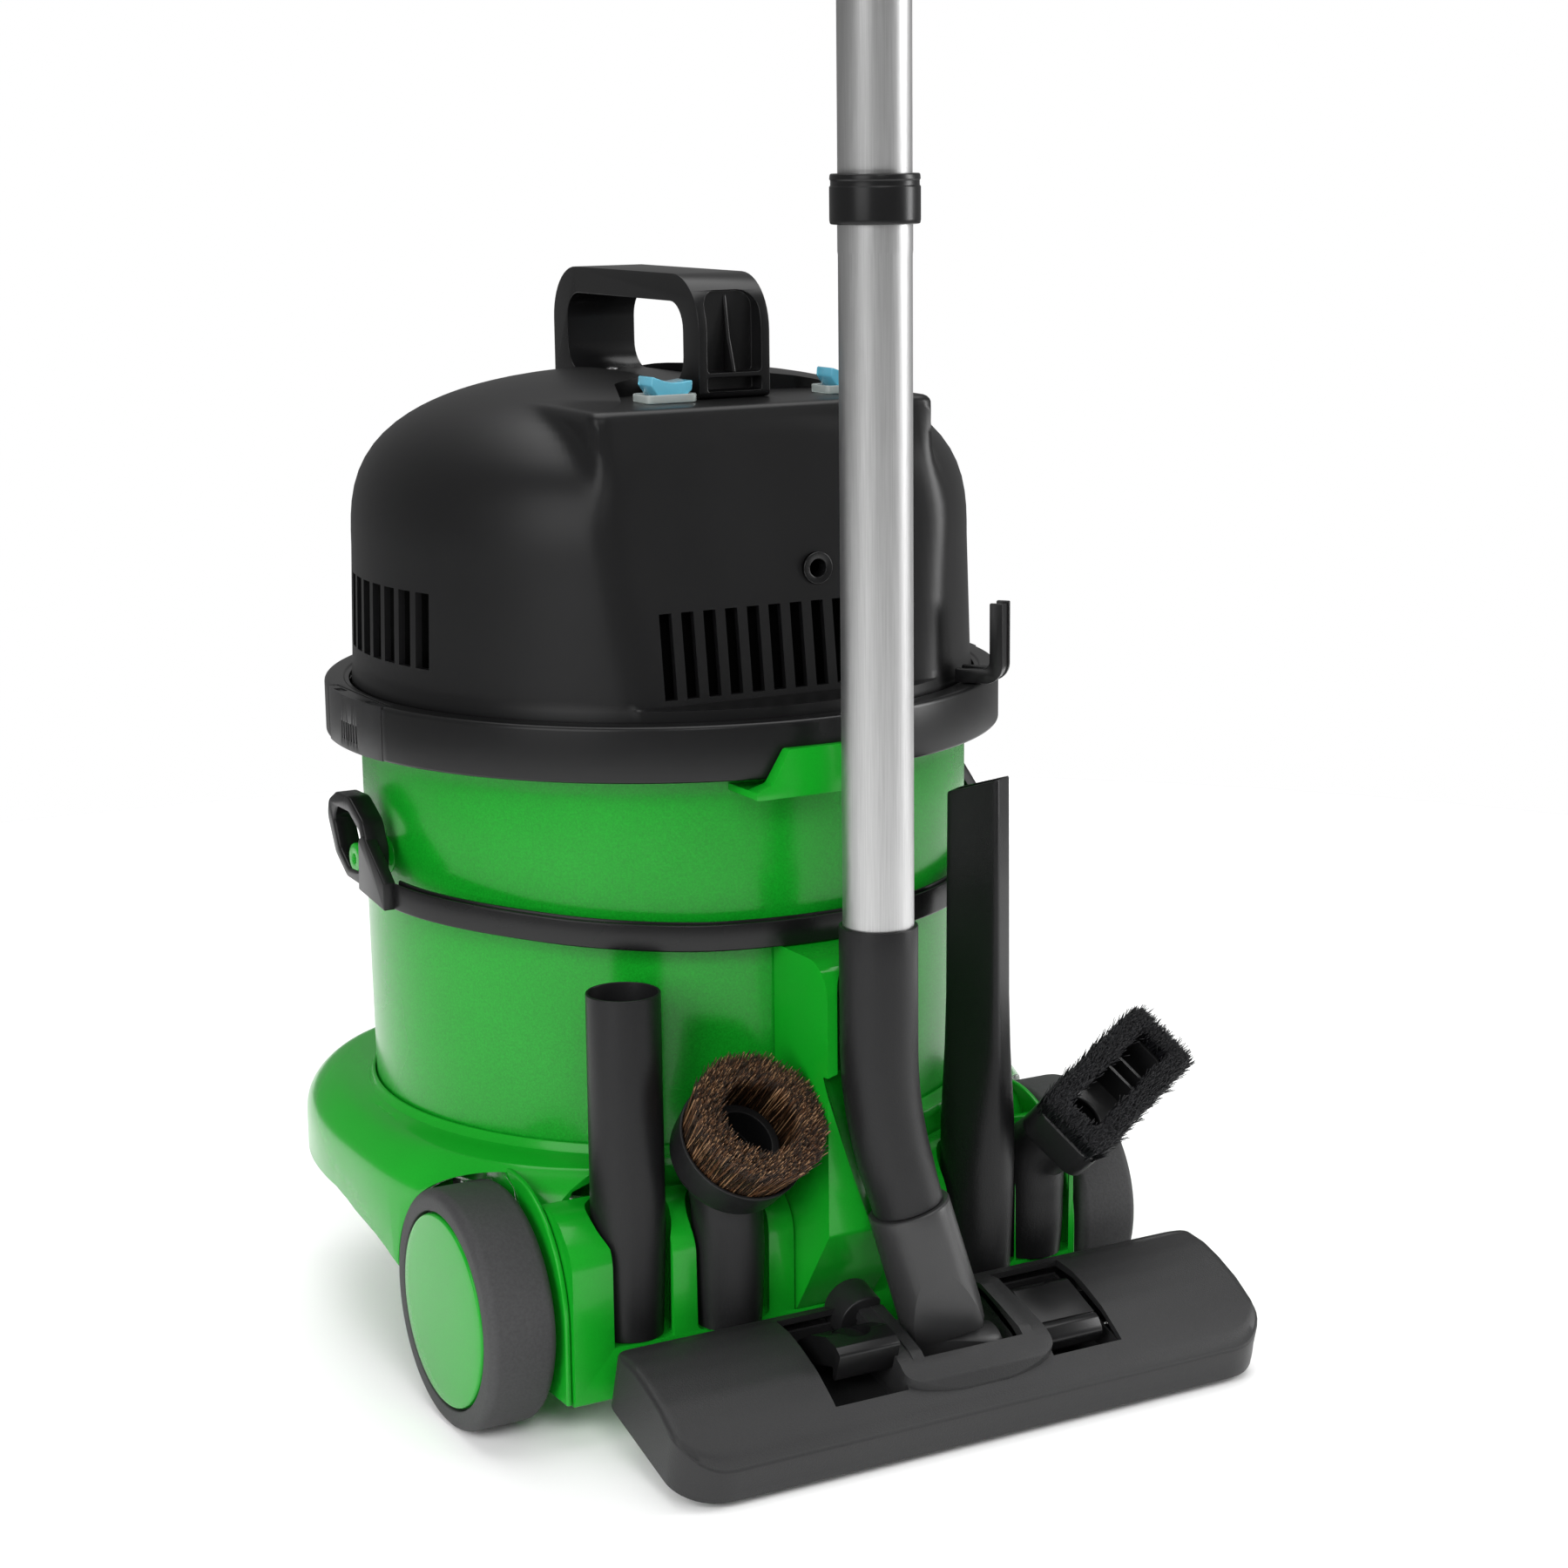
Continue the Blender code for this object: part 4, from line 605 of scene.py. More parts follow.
def wheels():
    for side, sign in sides():
        centre = (0.0, 0.109, 0.0555)
        body = f"rear_wheel_{side}"
        tread = soften([(0.0457, sign * 0.14), (0.0555, sign * 0.14, 0.006), (0.0555, sign * 0.1725, 0.0075),
                (0.0457, sign * 0.1725, 0.0008)], steps=8)
        piece(f"tyre_{side}_ring", turned(tread, 160, centre, "X"), "rubber", body, (f"tyre_{side}",))
        cap = soften([(0, sign * 0.1738), (0.02, sign * 0.1737, 0.02), (0.038, sign * 0.1733, 0.02),
                (0.0444, sign * 0.1728, 0.0014),
                (0.0449, sign * 0.17), (0.0449, sign * 0.1693), (0, sign * 0.1693)], closed=False,
                steps=5)
        piece(f"cap_{side}", turned(cap, 128, centre, "X"), "green", body, (f"hub_cap_{side}",))
        hub = soften([(0.0052, sign * 0.141), (0.011, sign * 0.141, 0.001), (0.0112, sign * 0.16, 0.002),
                (0.0385, sign * 0.16, 0.002), (0.04, sign * 0.141, 0.001), (0.0454, sign * 0.141),
                (0.0454, sign * 0.169), (0.0052, sign * 0.169)], steps=4)
        piece(f"hub_{side}", turned(hub, 128, centre, "X"), "dark", body, (f"wheel_hub_{side}",))
        for k in range(6):
            rib = box((min(sign * 0.143, sign * 0.16), 0.0108, -0.0012),
                    (max(sign * 0.143, sign * 0.16), 0.0392, 0.0012))
            bmesh.ops.rotate(rib, verts=rib.verts, matrix=Matrix.Rotation(TAU * k / 6, 3, "X"))
            bmesh.ops.translate(rib, verts=rib.verts, vec=centre)
            piece(f"hub_rib_{side}_{k}", rib, "dark", body)


def castors():
    for side, sign in sides():
        x, y = sign * 0.085, -0.1
        wheel = (x, y + 0.012, 0.0185)
        rim = soften([(0.0023, -0.007), (0.006, -0.007), (0.0075, -0.0055, 0.001), (0.012, -0.0055, 0.001),
                (0.0135, -0.007),
                (0.0185, -0.007, 0.0025), (0.0185, 0.007, 0.0025), (0.0135, 0.007),
                (0.012, 0.0055, 0.001),
                (0.0075, 0.0055, 0.001), (0.006, 0.007), (0.0023, 0.007)], steps=5)
        piece(f"castor_tyre_{side}", turned(rim, 96, wheel, "X"), "rubber", f"castor_roll_{side}",
              (f"castor_wheel_{side}",))
        plate = soften([(0, 0.04), (0.015, 0.04, 0.0015), (0.015, 0.0442, 0.0015), (0.006, 0.049, 0.001),
                (0.0045, 0.049),
                (0.0045, 0.078, 0.001), (0, 0.078)], closed=False)
        piece(f"castor_plate_{side}", turned(plate, 96, (x, y, 0)), "black_satin", f"castor_{side}",
              (f"castor_fork_{side}",))
        for arm in (-1, 1):
            low, high = sorted((x + arm * 0.0076, x + arm * 0.0104))
            cheek = soften([(y - 0.008, 0.0425), (wheel[1] - 0.0065, 0.014, 0.006),
                    (wheel[1] + 0.0065, 0.014, 0.006),
                    (y + 0.014, 0.0425)], steps=6)
            piece(f"castor_arm_{side}_{'in' if arm < 0 else 'out'}", prism(cheek, "X", low, high),
                  "black_satin",
                  f"castor_{side}", bevel=0.0006, steps=2)
        piece(f"castor_axle_{side}", rod(0.0019, (x - 0.0107, wheel[1], wheel[2]),
                (x + 0.0107, wheel[1], wheel[2])), "steel",
              f"castor_{side}")


# ---------------------------------------------------------------- drum and bail
def drum():
    outline = soften([(0, 0.099), (0.14, 0.099, 0.004), (0.1462, 0.105, 0.005), (0.147, 0.123), (0.1479, 0.2),
            (0.1484, 0.285), (0.1484, 0.2958, 0.0008), (0.152, 0.296, 0.0006),
            (0.152, 0.299, 0.0006),
            (0.1452, 0.299, 0.0006), (0.1442, 0.2), (0.1438, 0.108, 0.005),
            (0.138, 0.1022, 0.004), (0, 0.1022)],
            closed=False, steps=5)
    piece("drum_shell", turned(outline, 224), "green_drum", "base", ("drum",),
          cuts=[rod(0.0247, (0, -0.2, 0.235), (0, -0.1, 0.235), 96)])
    inlet = soften([(0.0175, -0.135), (0.0243, -0.135), (0.0243, -0.1488), (0.03, -0.1488, 0.001),
            (0.03, -0.153, 0.002),
            (0.0232, -0.1552, 0.002), (0.0222, -0.164, 0.001), (0.0226, -0.166, 0.001),
            (0.0218, -0.169, 0.001),
            (0.0215, -0.186, 0.001), (0.0175, -0.186, 0.001)], steps=4)
    piece("inlet_spout", turned(inlet, 128, (0, 0, 0.235), "Y"), "black", "base", ("hose_inlet",))
    for k in range(4):
        angle = TAU * (k + 0.5) / 4
        screw = turned(soften([(0, -0.1538), (0.001, -0.1538), (0.001, -0.1544), (0.0024, -0.1544, 0.0006),
                (0.0026, -0.1526), (0, -0.1526)],
                closed=False), 32, (0.0262 * math.cos(angle), 0,
                0.235 + 0.0262 * math.sin(angle)), "Y")
        piece(f"inlet_screw_{k}", screw, "steel", "base")
    lip = soften([(-0.025, 0.288, 0.001), (0.04, 0.288, 0.0006), (0.04, 0.2915, 0.0006),
            (0.032, 0.2945, 0.003),
            (0.0235, 0.3095, 0.002), (-0.017, 0.3095, 0.002), (-0.025, 0.295, 0.003)], steps=5)
    piece("pour_lip_shell", prism(lip, "Y", 0.14, 0.1705), "green", "base", ("pour_lip",), bevel=0.0008,
          steps=3,
          cuts=[rod(0.1486, (0, 0, 0.27), (0, 0, 0.2915), 256),
            rod(0.166, (0, 0, 0.2915), (0, 0, 0.33), 256)])
    for side, sign in sides():
        outline = soften([(0, sign * 0.1463), (0.009, sign * 0.1463), (0.009, sign * 0.1483, 0.0005),
                (0.0073, sign * 0.15, 0.001),
                (0.0073, sign * 0.1648, 0.0012), (0.0024, sign * 0.1648, 0.0006),
                (0.0019, sign * 0.1628, 0.0005),
                (0, sign * 0.1628)], closed=False, steps=4)
        piece(f"bail_pivot_{side}", turned(outline, 72, (0, 0, 0.2435), "X"), "green", "base",
              (f"bail_boss_{side}",))


def bail():
    section = soften([(-0.0052, 0.0, 0.0007), (0.0, 0.0, 0.001), (0.0, 0.0122, 0.0008),
            (-0.0012, 0.0126, 0.0003),
            (-0.0014, 0.011, 0.0003), (-0.0036, 0.011, 0.0003), (-0.0038, 0.013, 0.0003),
            (-0.0052, 0.013, 0.0004)],
            steps=3)
    rings = []
    for k in range(129):
        a = math.radians(13.2 + 153.6 * k / 128)
        flare = min(max((42 - math.degrees(min(a, math.pi - a))) / 28, 0.0), 1.0)
        outer = 0.1597 + 0.0058 * flare * flare * (3 - 2 * flare)
        foot = max(0.2296 - 0.087 * outer * math.sin(a), 0.2165)
        rings.append([((outer + r) * math.cos(a), (outer + r) * math.sin(a), foot + h) for r, h in section])
    piece("bail_band", loft(rings), "black", "bail", ("bail_strap",), sharp=40)
    eye = soften([(-0.0322, 0.259, 0.008), (-0.03, 0.267, 0.006), (-0.02, 0.2722, 0.006),
            (-0.003, 0.2726, 0.008),
            (0.013, 0.264, 0.008), (0.02, 0.25, 0.01), (0.018, 0.238, 0.006), (0.008, 0.2322, 0.005),
            (-0.009, 0.233, 0.006), (-0.023, 0.242, 0.008)], steps=6)
    hollow = soften([(-0.024, 0.259, 0.005), (-0.019, 0.2652, 0.004), (-0.004, 0.2652, 0.005),
            (0.0095, 0.258, 0.005),
            (0.012, 0.248, 0.005), (0.0085, 0.2385, 0.004), (-0.006, 0.238, 0.005),
            (-0.017, 0.2455, 0.006)], steps=6)
    for side, sign in sides():
        low, high = sorted((sign * 0.1545, sign * 0.1655))
        link = soften([(0.0068, 0.23, 0.001), (0.0386, 0.2262, 0.0006), (0.0388, 0.2392, 0.001),
                (0.033, 0.244, 0.003),
                (0.014, 0.258, 0.003), (0.0085, 0.254, 0.002)], steps=4)
        piece(f"bail_link_{side}", prism(link, "X", *sorted((sign * 0.1598, sign * 0.1658))), "black",
              "bail", bevel=0.0007,
              steps=3)
        hole = prism(hollow, "X", low - 0.01, high + 0.01)
        piece(f"bail_eye_{side}", prism(eye, "X", low, high), "black", "bail", cuts=[hole], bevel=0.001,
              steps=3)


# ---------------------------------------------------------------- head
def dome_profile(share):
    turn = math.radians(90) * share
    return 0.1495 * math.cos(turn) ** 0.8, 0.385 + 0.082 * math.sin(turn) ** (2 / 3)


def dome_at(height):
    """Dome radius at a height."""
    if height <= 0.385:
        return 0.1495 + (0.1512 - 0.1495) * (0.385 - height) / (0.385 - 0.3262)
    low, high = 0.0, 1.0
    for _ in range(40):
        middle = (low + high) / 2
        if dome_profile(middle)[1] < height:
            low = middle
        else:
            high = middle
    return dome_profile(low)[0]


def head_outline(radius, height, inset=0.0):
    """Dome outline at a height, merged with the flat-backed block."""
    def reach(angle):
        rise = math.sin(angle)
        if rise <= 0.02:
            return radius
        flat = (0.128 + (0.345 - height) * 0.13 - inset) / rise
        block = (0.088 - inset) / max(abs(math.cos(angle)), 1e-4)
        corner = least(flat, min(block, 0.4), 0.01 + max(0.45 - height, 0.0) * 0.28)
        if corner < radius * 0.6:
            return radius
        return least(flat, most(radius, corner, 0.006), 0.006)
    return reach


def dome():
    outer = [(0.1597, 0.3088), (0.16, 0.3092), (0.16, 0.3111), (0.1596, 0.3115), (0.153, 0.3116),
            (0.152, 0.3122),
            (0.1518, 0.3214), (0.1514, 0.3256)]
    outer.append((head_outline(0.1512, 0.3262), 0.3263))
    for height in (0.33, 0.34, 0.35, 0.36, 0.37, 0.378, 0.385, 0.392, 0.399, 0.406, 0.413, 0.42, 0.426,
            0.432, 0.437, 0.442, 0.446, 0.449, 0.4515, 0.4535):
        outer.append((head_outline(dome_at(height), height), height))
    for inset, height in ((0.0004, 0.4548), (0.0012, 0.4559), (0.0024, 0.4566), (0.004, 0.4569),
            (0.0058, 0.457)):
        outer.append((head_outline(dome_at(height), height, inset), height))
    for height in (0.4576, 0.4586, 0.46, 0.4616, 0.4632, 0.4646, 0.4657, 0.4665):
        outer.append((dome_at(height), height))
    outer.append((0, 0.467))
    inner = [(0, 0.4535), (0.086, 0.4534), (head_outline(0.094, 0.456, 0.006), 0.452)]
    for height in (0.445, 0.425, 0.4, 0.385, 0.36, 0.34):
        inner.append((head_outline(dome_at(height) - 0.003, height, 0.003), height - 0.001))
    inner += [(head_outline(0.1478, 0.3295, 0.003), 0.323), (0.149, 0.32), (0.149, 0.3088)]
    recess = [(-0.024, -0.088), (0.024, -0.088), (0.024, 0.035), (0.045, 0.045), (0.08, 0.14), (-0.08, 0.14),
            (-0.078, 0.062), (-0.052, 0.044), (-0.024, 0.035)]
    cuts = [prism(soften([(a, b, 0.006) for a, b in recess], steps=5), "Z", 0.4571, 0.48)]
    for k in range(12):
        x = 0.0111 * (k - 5.5)
        cuts.append(box((x - 0.0031, 0.1, 0.329), (x + 0.0031, 0.145, 0.3675)))
    for sign in (1, -1):
        for k in range(8):
            y = 0.0132 * (k - 3.5) - 0.003
            cuts.append(box((min(sign * 0.13, sign * 0.17), y - 0.0046, 0.3385),
                    (max(sign * 0.13, sign * 0.17), y + 0.0046, 0.3735)))
    cuts.append(rod(0.0074, (-0.018, 0.1, 0.382), (-0.018, 0.14, 0.382)))
    piece("cover_shell", polar(outer[::-1] + inner[::-1], 256), "black_dome", "head", ("motor_cover",),
          cuts=cuts, sharp=38)
    # painted shade: near-black sheet just inside the vent slots, standing in for the shade behind them
    shade_sheet = polar([(head_outline(0.1415, 0.372, 0.009), 0.372), (head_outline(0.142, 0.325, 0.009), 0.325),
            (head_outline(0.1408, 0.325, 0.0102), 0.325),
            (head_outline(0.1403, 0.372, 0.0102), 0.372)], 128)
    piece("vent_shade_sheet", shade_sheet, "vent_shade", "head")


def ring():
    outline = soften([(0.1615, 0.2955), (0.165, 0.2955, 0.0012), (0.165, 0.3212, 0.0022),
            (0.156, 0.3212, 0.001),
            (0.1552, 0.3204, 0.0006), (0.153, 0.3204, 0.0006), (0.153, 0.3182), (0.1615, 0.3182)],
            steps=5)
    cuts = []
    for _, sign in sides():
        low, high = sorted((sign * 0.157, sign * 0.18))
        cuts.append(box((low, -0.0333, 0.28), (high, 0.0333, 0.34)))
    piece("ring_band", turned(outline, 224), "black", "head", ("clamp_ring",), cuts=cuts, bevel=0.0004,
          steps=2, limit=60)
    for side, sign in sides():
        outline = []
        for k in range(17):
            angle = math.asin(0.033 / 0.165) * (k / 8 - 1)
            outline.append((sign * 0.165 * math.cos(angle), 0.165 * math.sin(angle)))
        outline += [(sign * 0.1576, 0.033), (sign * 0.1576, -0.033)]
        low, high = sorted((sign * 0.15, sign * 0.1616))
        hollow = box((low, -0.0305, 0.28), (high, 0.0305, 0.3176))
        near, far = sorted((sign * 0.1585, sign * 0.1625))
        tabs = [box((near, y - 0.0045, 0.3202), (far, y + 0.0045, 0.33)) for y in (-0.02, 0.02)]
        grip = [box((min(sign * 0.1636, sign * 0.17), y - 0.0006, 0.3),
                (max(sign * 0.1636, sign * 0.17), y + 0.0006, 0.3085))
                for y in (-0.009, -0.006, -0.003, 0.0, 0.003, 0.006, 0.009)]
        piece(f"latch_lever_{side}", prism(outline, "Z", 0.2955, 0.321), "black_satin", f"{side}_latch",
              (f"latch_{side}",),
              cuts=[hollow, *tabs, *grip], bevel=0.0007, steps=3)


def handle():
    low = 0.4573
    outer = soften([(-0.077, low, 0.004), (0.08, low, 0.003), (0.08, 0.5137, 0.026),
            (-0.077, 0.5137, 0.026)], steps=12)
    hole = rounded((-0.061, 0.463), (0.064, 0.501), 0.013, 8)
    cuts = [prism(hole, "X", -0.03, 0.03),
            prism(soften([(-0.014, 0.469, 0.002), (0.014, 0.469, 0.002), (0.014, 0.506, 0.008),
            (-0.014, 0.506, 0.008)], steps=5),
            "Y", 0.0705, 0.09),
            prism(soften([(-0.014, 0.4605, 0.001), (0.014, 0.4605, 0.001), (0.014, 0.4668, 0.001),
            (-0.014, 0.4668, 0.001)], steps=2),
            "Y", 0.0705, 0.09)]
    piece("handle_grip", prism(outer, "X", -0.0185, 0.0185), "black", "head", ("carry_handle",), cuts=cuts,
          bevel=0.004, steps=5)
    rib = soften([(0.0706, 0.4692), (0.0795, 0.4692), (0.074, 0.485), (0.0706, 0.504)], steps=4)
    piece("handle_web", prism(rib, "X", -0.0008, 0.0008), "black", "head", bevel=0.0003)
    for k, (x, y) in enumerate(((0.0, -0.07), (0.0, 0.056))):
        piece(f"handle_screw_{k}", turned(soften([(0, 0.4628), (0.0009, 0.4628), (0.0011, 0.4636),
                (0.003, 0.4636, 0.0008), (0.0032, 0.4612),
                (0, 0.4612)], closed=False), 32,
                (x, y if k else -0.05, 0)), "steel", "head")


def switches():
    for name, x in (("vacuum", 0.0365), ("pump", -0.057)):
        y = 0.08
        frame_ = prism(rounded((x - 0.0128, y - 0.009), (x + 0.0128, y + 0.009), 0.003), "Z", 0.4573, 0.4612)
        hole = prism(rounded((x - 0.0114, y - 0.0076), (x + 0.0114, y + 0.0076), 0.0012), "Z", 0.45, 0.47)
        piece(f"{name}_bezel", frame_, "clear", "head", (f"{name}_switch_frame",), cuts=[hole],
              bevel=0.0007, steps=3)
        key = soften([(x - 0.0104, 0.464), (x - 0.005, 0.4582), (x + 0.005, 0.4582), (x + 0.0104, 0.464),
                (x + 0.0104, 0.4684, 0.0008), (x + 0.004, 0.4668, 0.006), (x, 0.4664, 0.006),
                (x - 0.004, 0.4668, 0.006),
                (x - 0.0104, 0.4684, 0.0008)], steps=4)
        shape = prism(key, "Y", y - 0.0072, y + 0.0072)
        bmesh.ops.rotate(shape, verts=shape.verts, cent=(x, y, 0.462),
                matrix=Matrix.Rotation(-math.radians(6.5), 3, "Y"))
        piece(f"{name}_rocker_key", shape, "blue", f"{name}_rocker", (f"{name}_switch",), bevel=0.0006,
              steps=3)


def hook_and_gland():
    turn = Matrix.Rotation(math.radians(129.4), 3, "Z")
    for k, y in enumerate((-0.0052, 0.0052)):
        side = soften([(0.1535, 0.3217, 0.001), (0.177, 0.3217, 0.0085), (0.177, 0.36, 0.0006),
                (0.1706, 0.36, 0.0006),
                (0.1706, 0.3285, 0.004), (0.1535, 0.3285, 0.001)], steps=8)
        shape = prism(side, "Y", y - 0.001, y + 0.001)
        bmesh.ops.rotate(shape, verts=shape.verts, matrix=turn)
        replaced = ("cord_hook",) if k == 0 else ()
        piece(f"hook_flange_{k}", shape, "black", "head", replaced, bevel=0.0004, steps=2)
    web = soften([(0.1535, 0.3222), (0.1764, 0.3222, 0.008), (0.1764, 0.3592), (0.1746, 0.3592),
            (0.174, 0.33, 0.006),
            (0.1535, 0.324)], steps=8)
    shape = prism(web, "Y", -0.005, 0.005)
    bmesh.ops.rotate(shape, verts=shape.verts, matrix=turn)
    piece("hook_web", shape, "black", "head", bevel=0.0003)
    y = 0.128 + (0.345 - 0.382) * 0.13
    gland = soften([(0.0042, y - 0.006), (0.0068, y - 0.006), (0.0068, y + 0.0006),
            (0.0078, y + 0.0008, 0.0004),
            (0.0072, y + 0.0016, 0.0005), (0.0042, y + 0.0012, 0.0005)], steps=4)
    piece("gland_ring", turned(gland, 64, (-0.018, 0, 0.382), "Y"), "black", "head", ("cord_gland",))


def inside():
    cage = [(0.033, 0.255), (0.036, 0.255), (0.036, 0.3034), (0.033, 0.3034)]
    cuts = []
    for k in range(9):
        bar = box((-0.05, -0.0045, 0.26), (0.05, 0.0045, 0.297))
        bmesh.ops.rotate(bar, verts=bar.verts, matrix=Matrix.Rotation(TAU * k / 18, 3, "Z"))
        cuts.append(bar)
    piece("cage_wall", turned(cage, 108), "dark", "head", ("float_cage",), cuts=cuts)
    piece("cage_floor", turned(soften([(0, 0.253), (0.036, 0.253, 0.001), (0.036, 0.2556), (0, 0.2556)],
            closed=False), 96), "dark", "head")
    ball = [(0.024 * math.cos(math.radians(a)), 0.2676 + 0.0114 * math.sin(math.radians(a)))
            for a in range(-90, 91, 6)]
    ball[0], ball[-1] = (0, ball[0][1]), (0, ball[-1][1])
    piece("float_ball_smooth", turned(ball, 72), "white", "float", ("float_ball",))
    folds = []
    count = 144
    for z, scale in ((0.285, 0.97), (0.288, 1.0), (0.3, 1.0), (0.303, 0.985)):
        folds.append([((0.1385 + 0.0022 * math.cos(k * TAU * 36 / count)) * scale * math.cos(TAU * k / count),
                (0.1385 + 0.0022 * math.cos(k * TAU * 36 / count)) * scale
                * math.sin(TAU * k / count), z)
                for k in range(count)])
    hole = [[(0.0402 * math.cos(TAU * k / count), 0.0402 * math.sin(TAU * k / count),
            z) for k in range(count)]
            for z in (0.303, 0.285)]
    piece("filter_cloth", loft(folds + hole, closed=True), "white", "head", ("cloth_filter",), sharp=60)
    seal = soften([(0.1458, 0.2993), (0.1515, 0.2993, 0.001), (0.1515, 0.3034, 0.001), (0.1458, 0.3034)],
            steps=3)
    piece("seal_ring", turned(seal, 160), "rubber", "head", ("lid_seal",))
    plate = soften([(0.03, 0.3037, 0.0008), (0.159, 0.3037, 0.0008), (0.159, 0.3085, 0.0008),
            (0.03, 0.3085, 0.0008)], steps=3)
    piece("plate_disc", turned(plate, 192), "dark", "head", ("separator_plate",))


# ---------------------------------------------------------------- wand
def neck_direction():
    return (Vector((-0.032, 0.2185, 0.03)) - Vector((0, WAND_Y, 0.15))).normalized()


def wand():
    bend = Vector((0, WAND_Y, 0.15))
    down = neck_direction()
    joint = bend + down * 0.048
    rows = [(0, WAND_Y, 0.188 - 0.001, 0.0175, 0.0142)]
    for k in range(17):
        t = k / 16
        reach = 0.03
        a = bend + Vector((0, 0, reach))
        b = bend + down * reach
        point = (1 - t) ** 2 * a + 2 * t * (1 - t) * bend + t ** 2 * b
        rows.append((*point, 0.0175 - 0.0006 * t, 0.0142))
    rows.append((*(joint - down * 0.01), 0.0164, 0.014))
    rows.append((*(joint - down * 0.0004), 0.0162, 0.014))
    rows.append((*joint, 0.0158, 0.014))
    top = [(0, WAND_Y, z, r, i) for z, r, i in ((0.235, 0.0169, 0.0161), (0.2347, 0.0174, 0.0161),
            (0.2338, 0.0176, 0.0161),
            (0.22, 0.0175, 0.0161), (0.189, 0.0175, 0.0161),
            (0.1875, 0.0175, 0.0142))]
    piece("elbow_sleeve", pipe(top + rows[1:], 96), "tube_black", "wand", ("wand_elbow",), sharp=40)
    start = joint + down * 0.0003
    spot = [(0.0, 0.0182, 0.014), (0.0008, 0.0189, 0.014), (0.006, 0.0189, 0.014), (0.037, 0.0192, 0.014),
            (0.052, 0.0193, 0.014), (0.061, 0.0187, 0.014), (0.0645, 0.0171, 0.014)]
    rows = [(*(start + down * d), r, i) for d, r, i in spot]
    facing = Vector((0.36, 0.9, 0.24)).normalized()
    across = down.cross(facing).normalized()
    out = across.cross(down).normalized()
    if out.dot(facing) < 0:
        out = -out
    origin = start + down * 0.026 + out * 0.0193
    slope = (down * math.cos(math.radians(16)) - out * math.sin(math.radians(16))).normalized()
    outward = across.cross(slope).normalized()
    if outward.dot(out) < 0:
        outward = -outward
    place = Matrix((across, slope, outward)).transposed().to_4x4()
    place.translation = origin
    chop = box((-0.03, -0.03, 0.0), (0.03, 0.08, 0.04))
    bmesh.ops.transform(chop, matrix=place, verts=chop.verts)
    barrel = rod(0.0125, (-0.052, 0.2185, 0.03), (-0.012, 0.2185, 0.03), 96)
    solid = [(*(start + down * d), r, 0.0) for d, r, _ in spot]
    shape = loft([[Vector(row[:3])] for row in solid[:1]] + neck_rings(solid, 96) + [[Vector(solid[-1][:3])]])
    bore = rod(0.0139, start - down * 0.01, start + down * 0.016, 96)
    piece("neck_swivel", shape, "neck_grey", "wand", ("neck",), joins=[barrel], cuts=[chop, bore],
          bevel=0.0005, steps=2, limit=30)
    for name, low, high in (("lower", 0.1728, 0.5486), ("upper", 0.5489, 0.96)):
        tube = soften([(0.0148, low), (0.0158, low, 0.0003), (0.0158, high, 0.0003), (0.0148, high)], steps=3)
        if name == "lower":
            tube = [(0.0148, low), (0.0158, low), (0.0158, 0.526), (0.016, 0.5275), (0.016, high),
                    (0.0148, high)]
        piece(f"{name}_wand_tube", turned(tube, 96, (0, WAND_Y, 0)), "steel", "wand", (f"{name}_tube",))
    collar = soften([(0.0162, 0.5386), (0.019, 0.5386, 0.0008), (0.0193, 0.5405, 0.0006),
            (0.0193, 0.554, 0.0006), (0.0188, 0.5546, 0.0005),
            (0.0188, 0.5566, 0.0005), (0.0192, 0.5572, 0.0005), (0.019, 0.5595, 0.0008),
            (0.0162, 0.5595)], steps=3)
    piece("collar_ring", turned(collar, 96, (0, WAND_Y, 0)), "black", "wand", ("tube_collar",))


def neck_rings(rows, facets):
    path = [Vector(row[:3]) for row in rows]
    along = (path[-1] - path[0]).normalized()
    side = Vector((0, 1, 0)).cross(along).normalized()
    up = along.cross(side)
    return [[point + row[3] * (math.cos(TAU * k / facets) * side + math.sin(TAU * k / facets) * up)
            for k in range(facets)]
            for point, row in zip(path, rows)]


# ---------------------------------------------------------------- floor head
HEAD_X, HEAD_HALF, HEAD_DEPTH = -0.032, 0.1545, 0.083
LEAN = math.radians(16)
TRUNNION = Vector((0, 0.2185, 0.03))


def head_frame(shape):
    """Moves a shape drawn as (across, behind the front edge, above the sole) to the leaning floor head."""
    flat = Matrix(((1, 0, 0, HEAD_X), (0, -1, 0, 0.0397), (0, 0, 1, -0.0167), (0, 0, 0, 1)))
    place = Matrix.Translation(TRUNNION) @ Matrix.Rotation(-LEAN, 4, "X") @ flat
    bmesh.ops.transform(shape, matrix=place, verts=shape.verts)
    return shape


def head_box(across, back, up):
    return head_frame(box((across[0], back[0], up[0]), (across[1], back[1], up[1])))


def crown(back):
    points = ((0.0, 0.016), (0.004, 0.0182), (0.012, 0.0222), (0.02, 0.0256), (0.035, 0.03), (0.05, 0.0318),
            (0.062, 0.032), (0.074, 0.0298), (0.083, 0.0245))
    for (a, low), (b, high) in zip(points, points[1:]):
        if back <= b:
            t = (back - a) / (b - a)
            return low + (high - low) * t
    return points[-1][1]


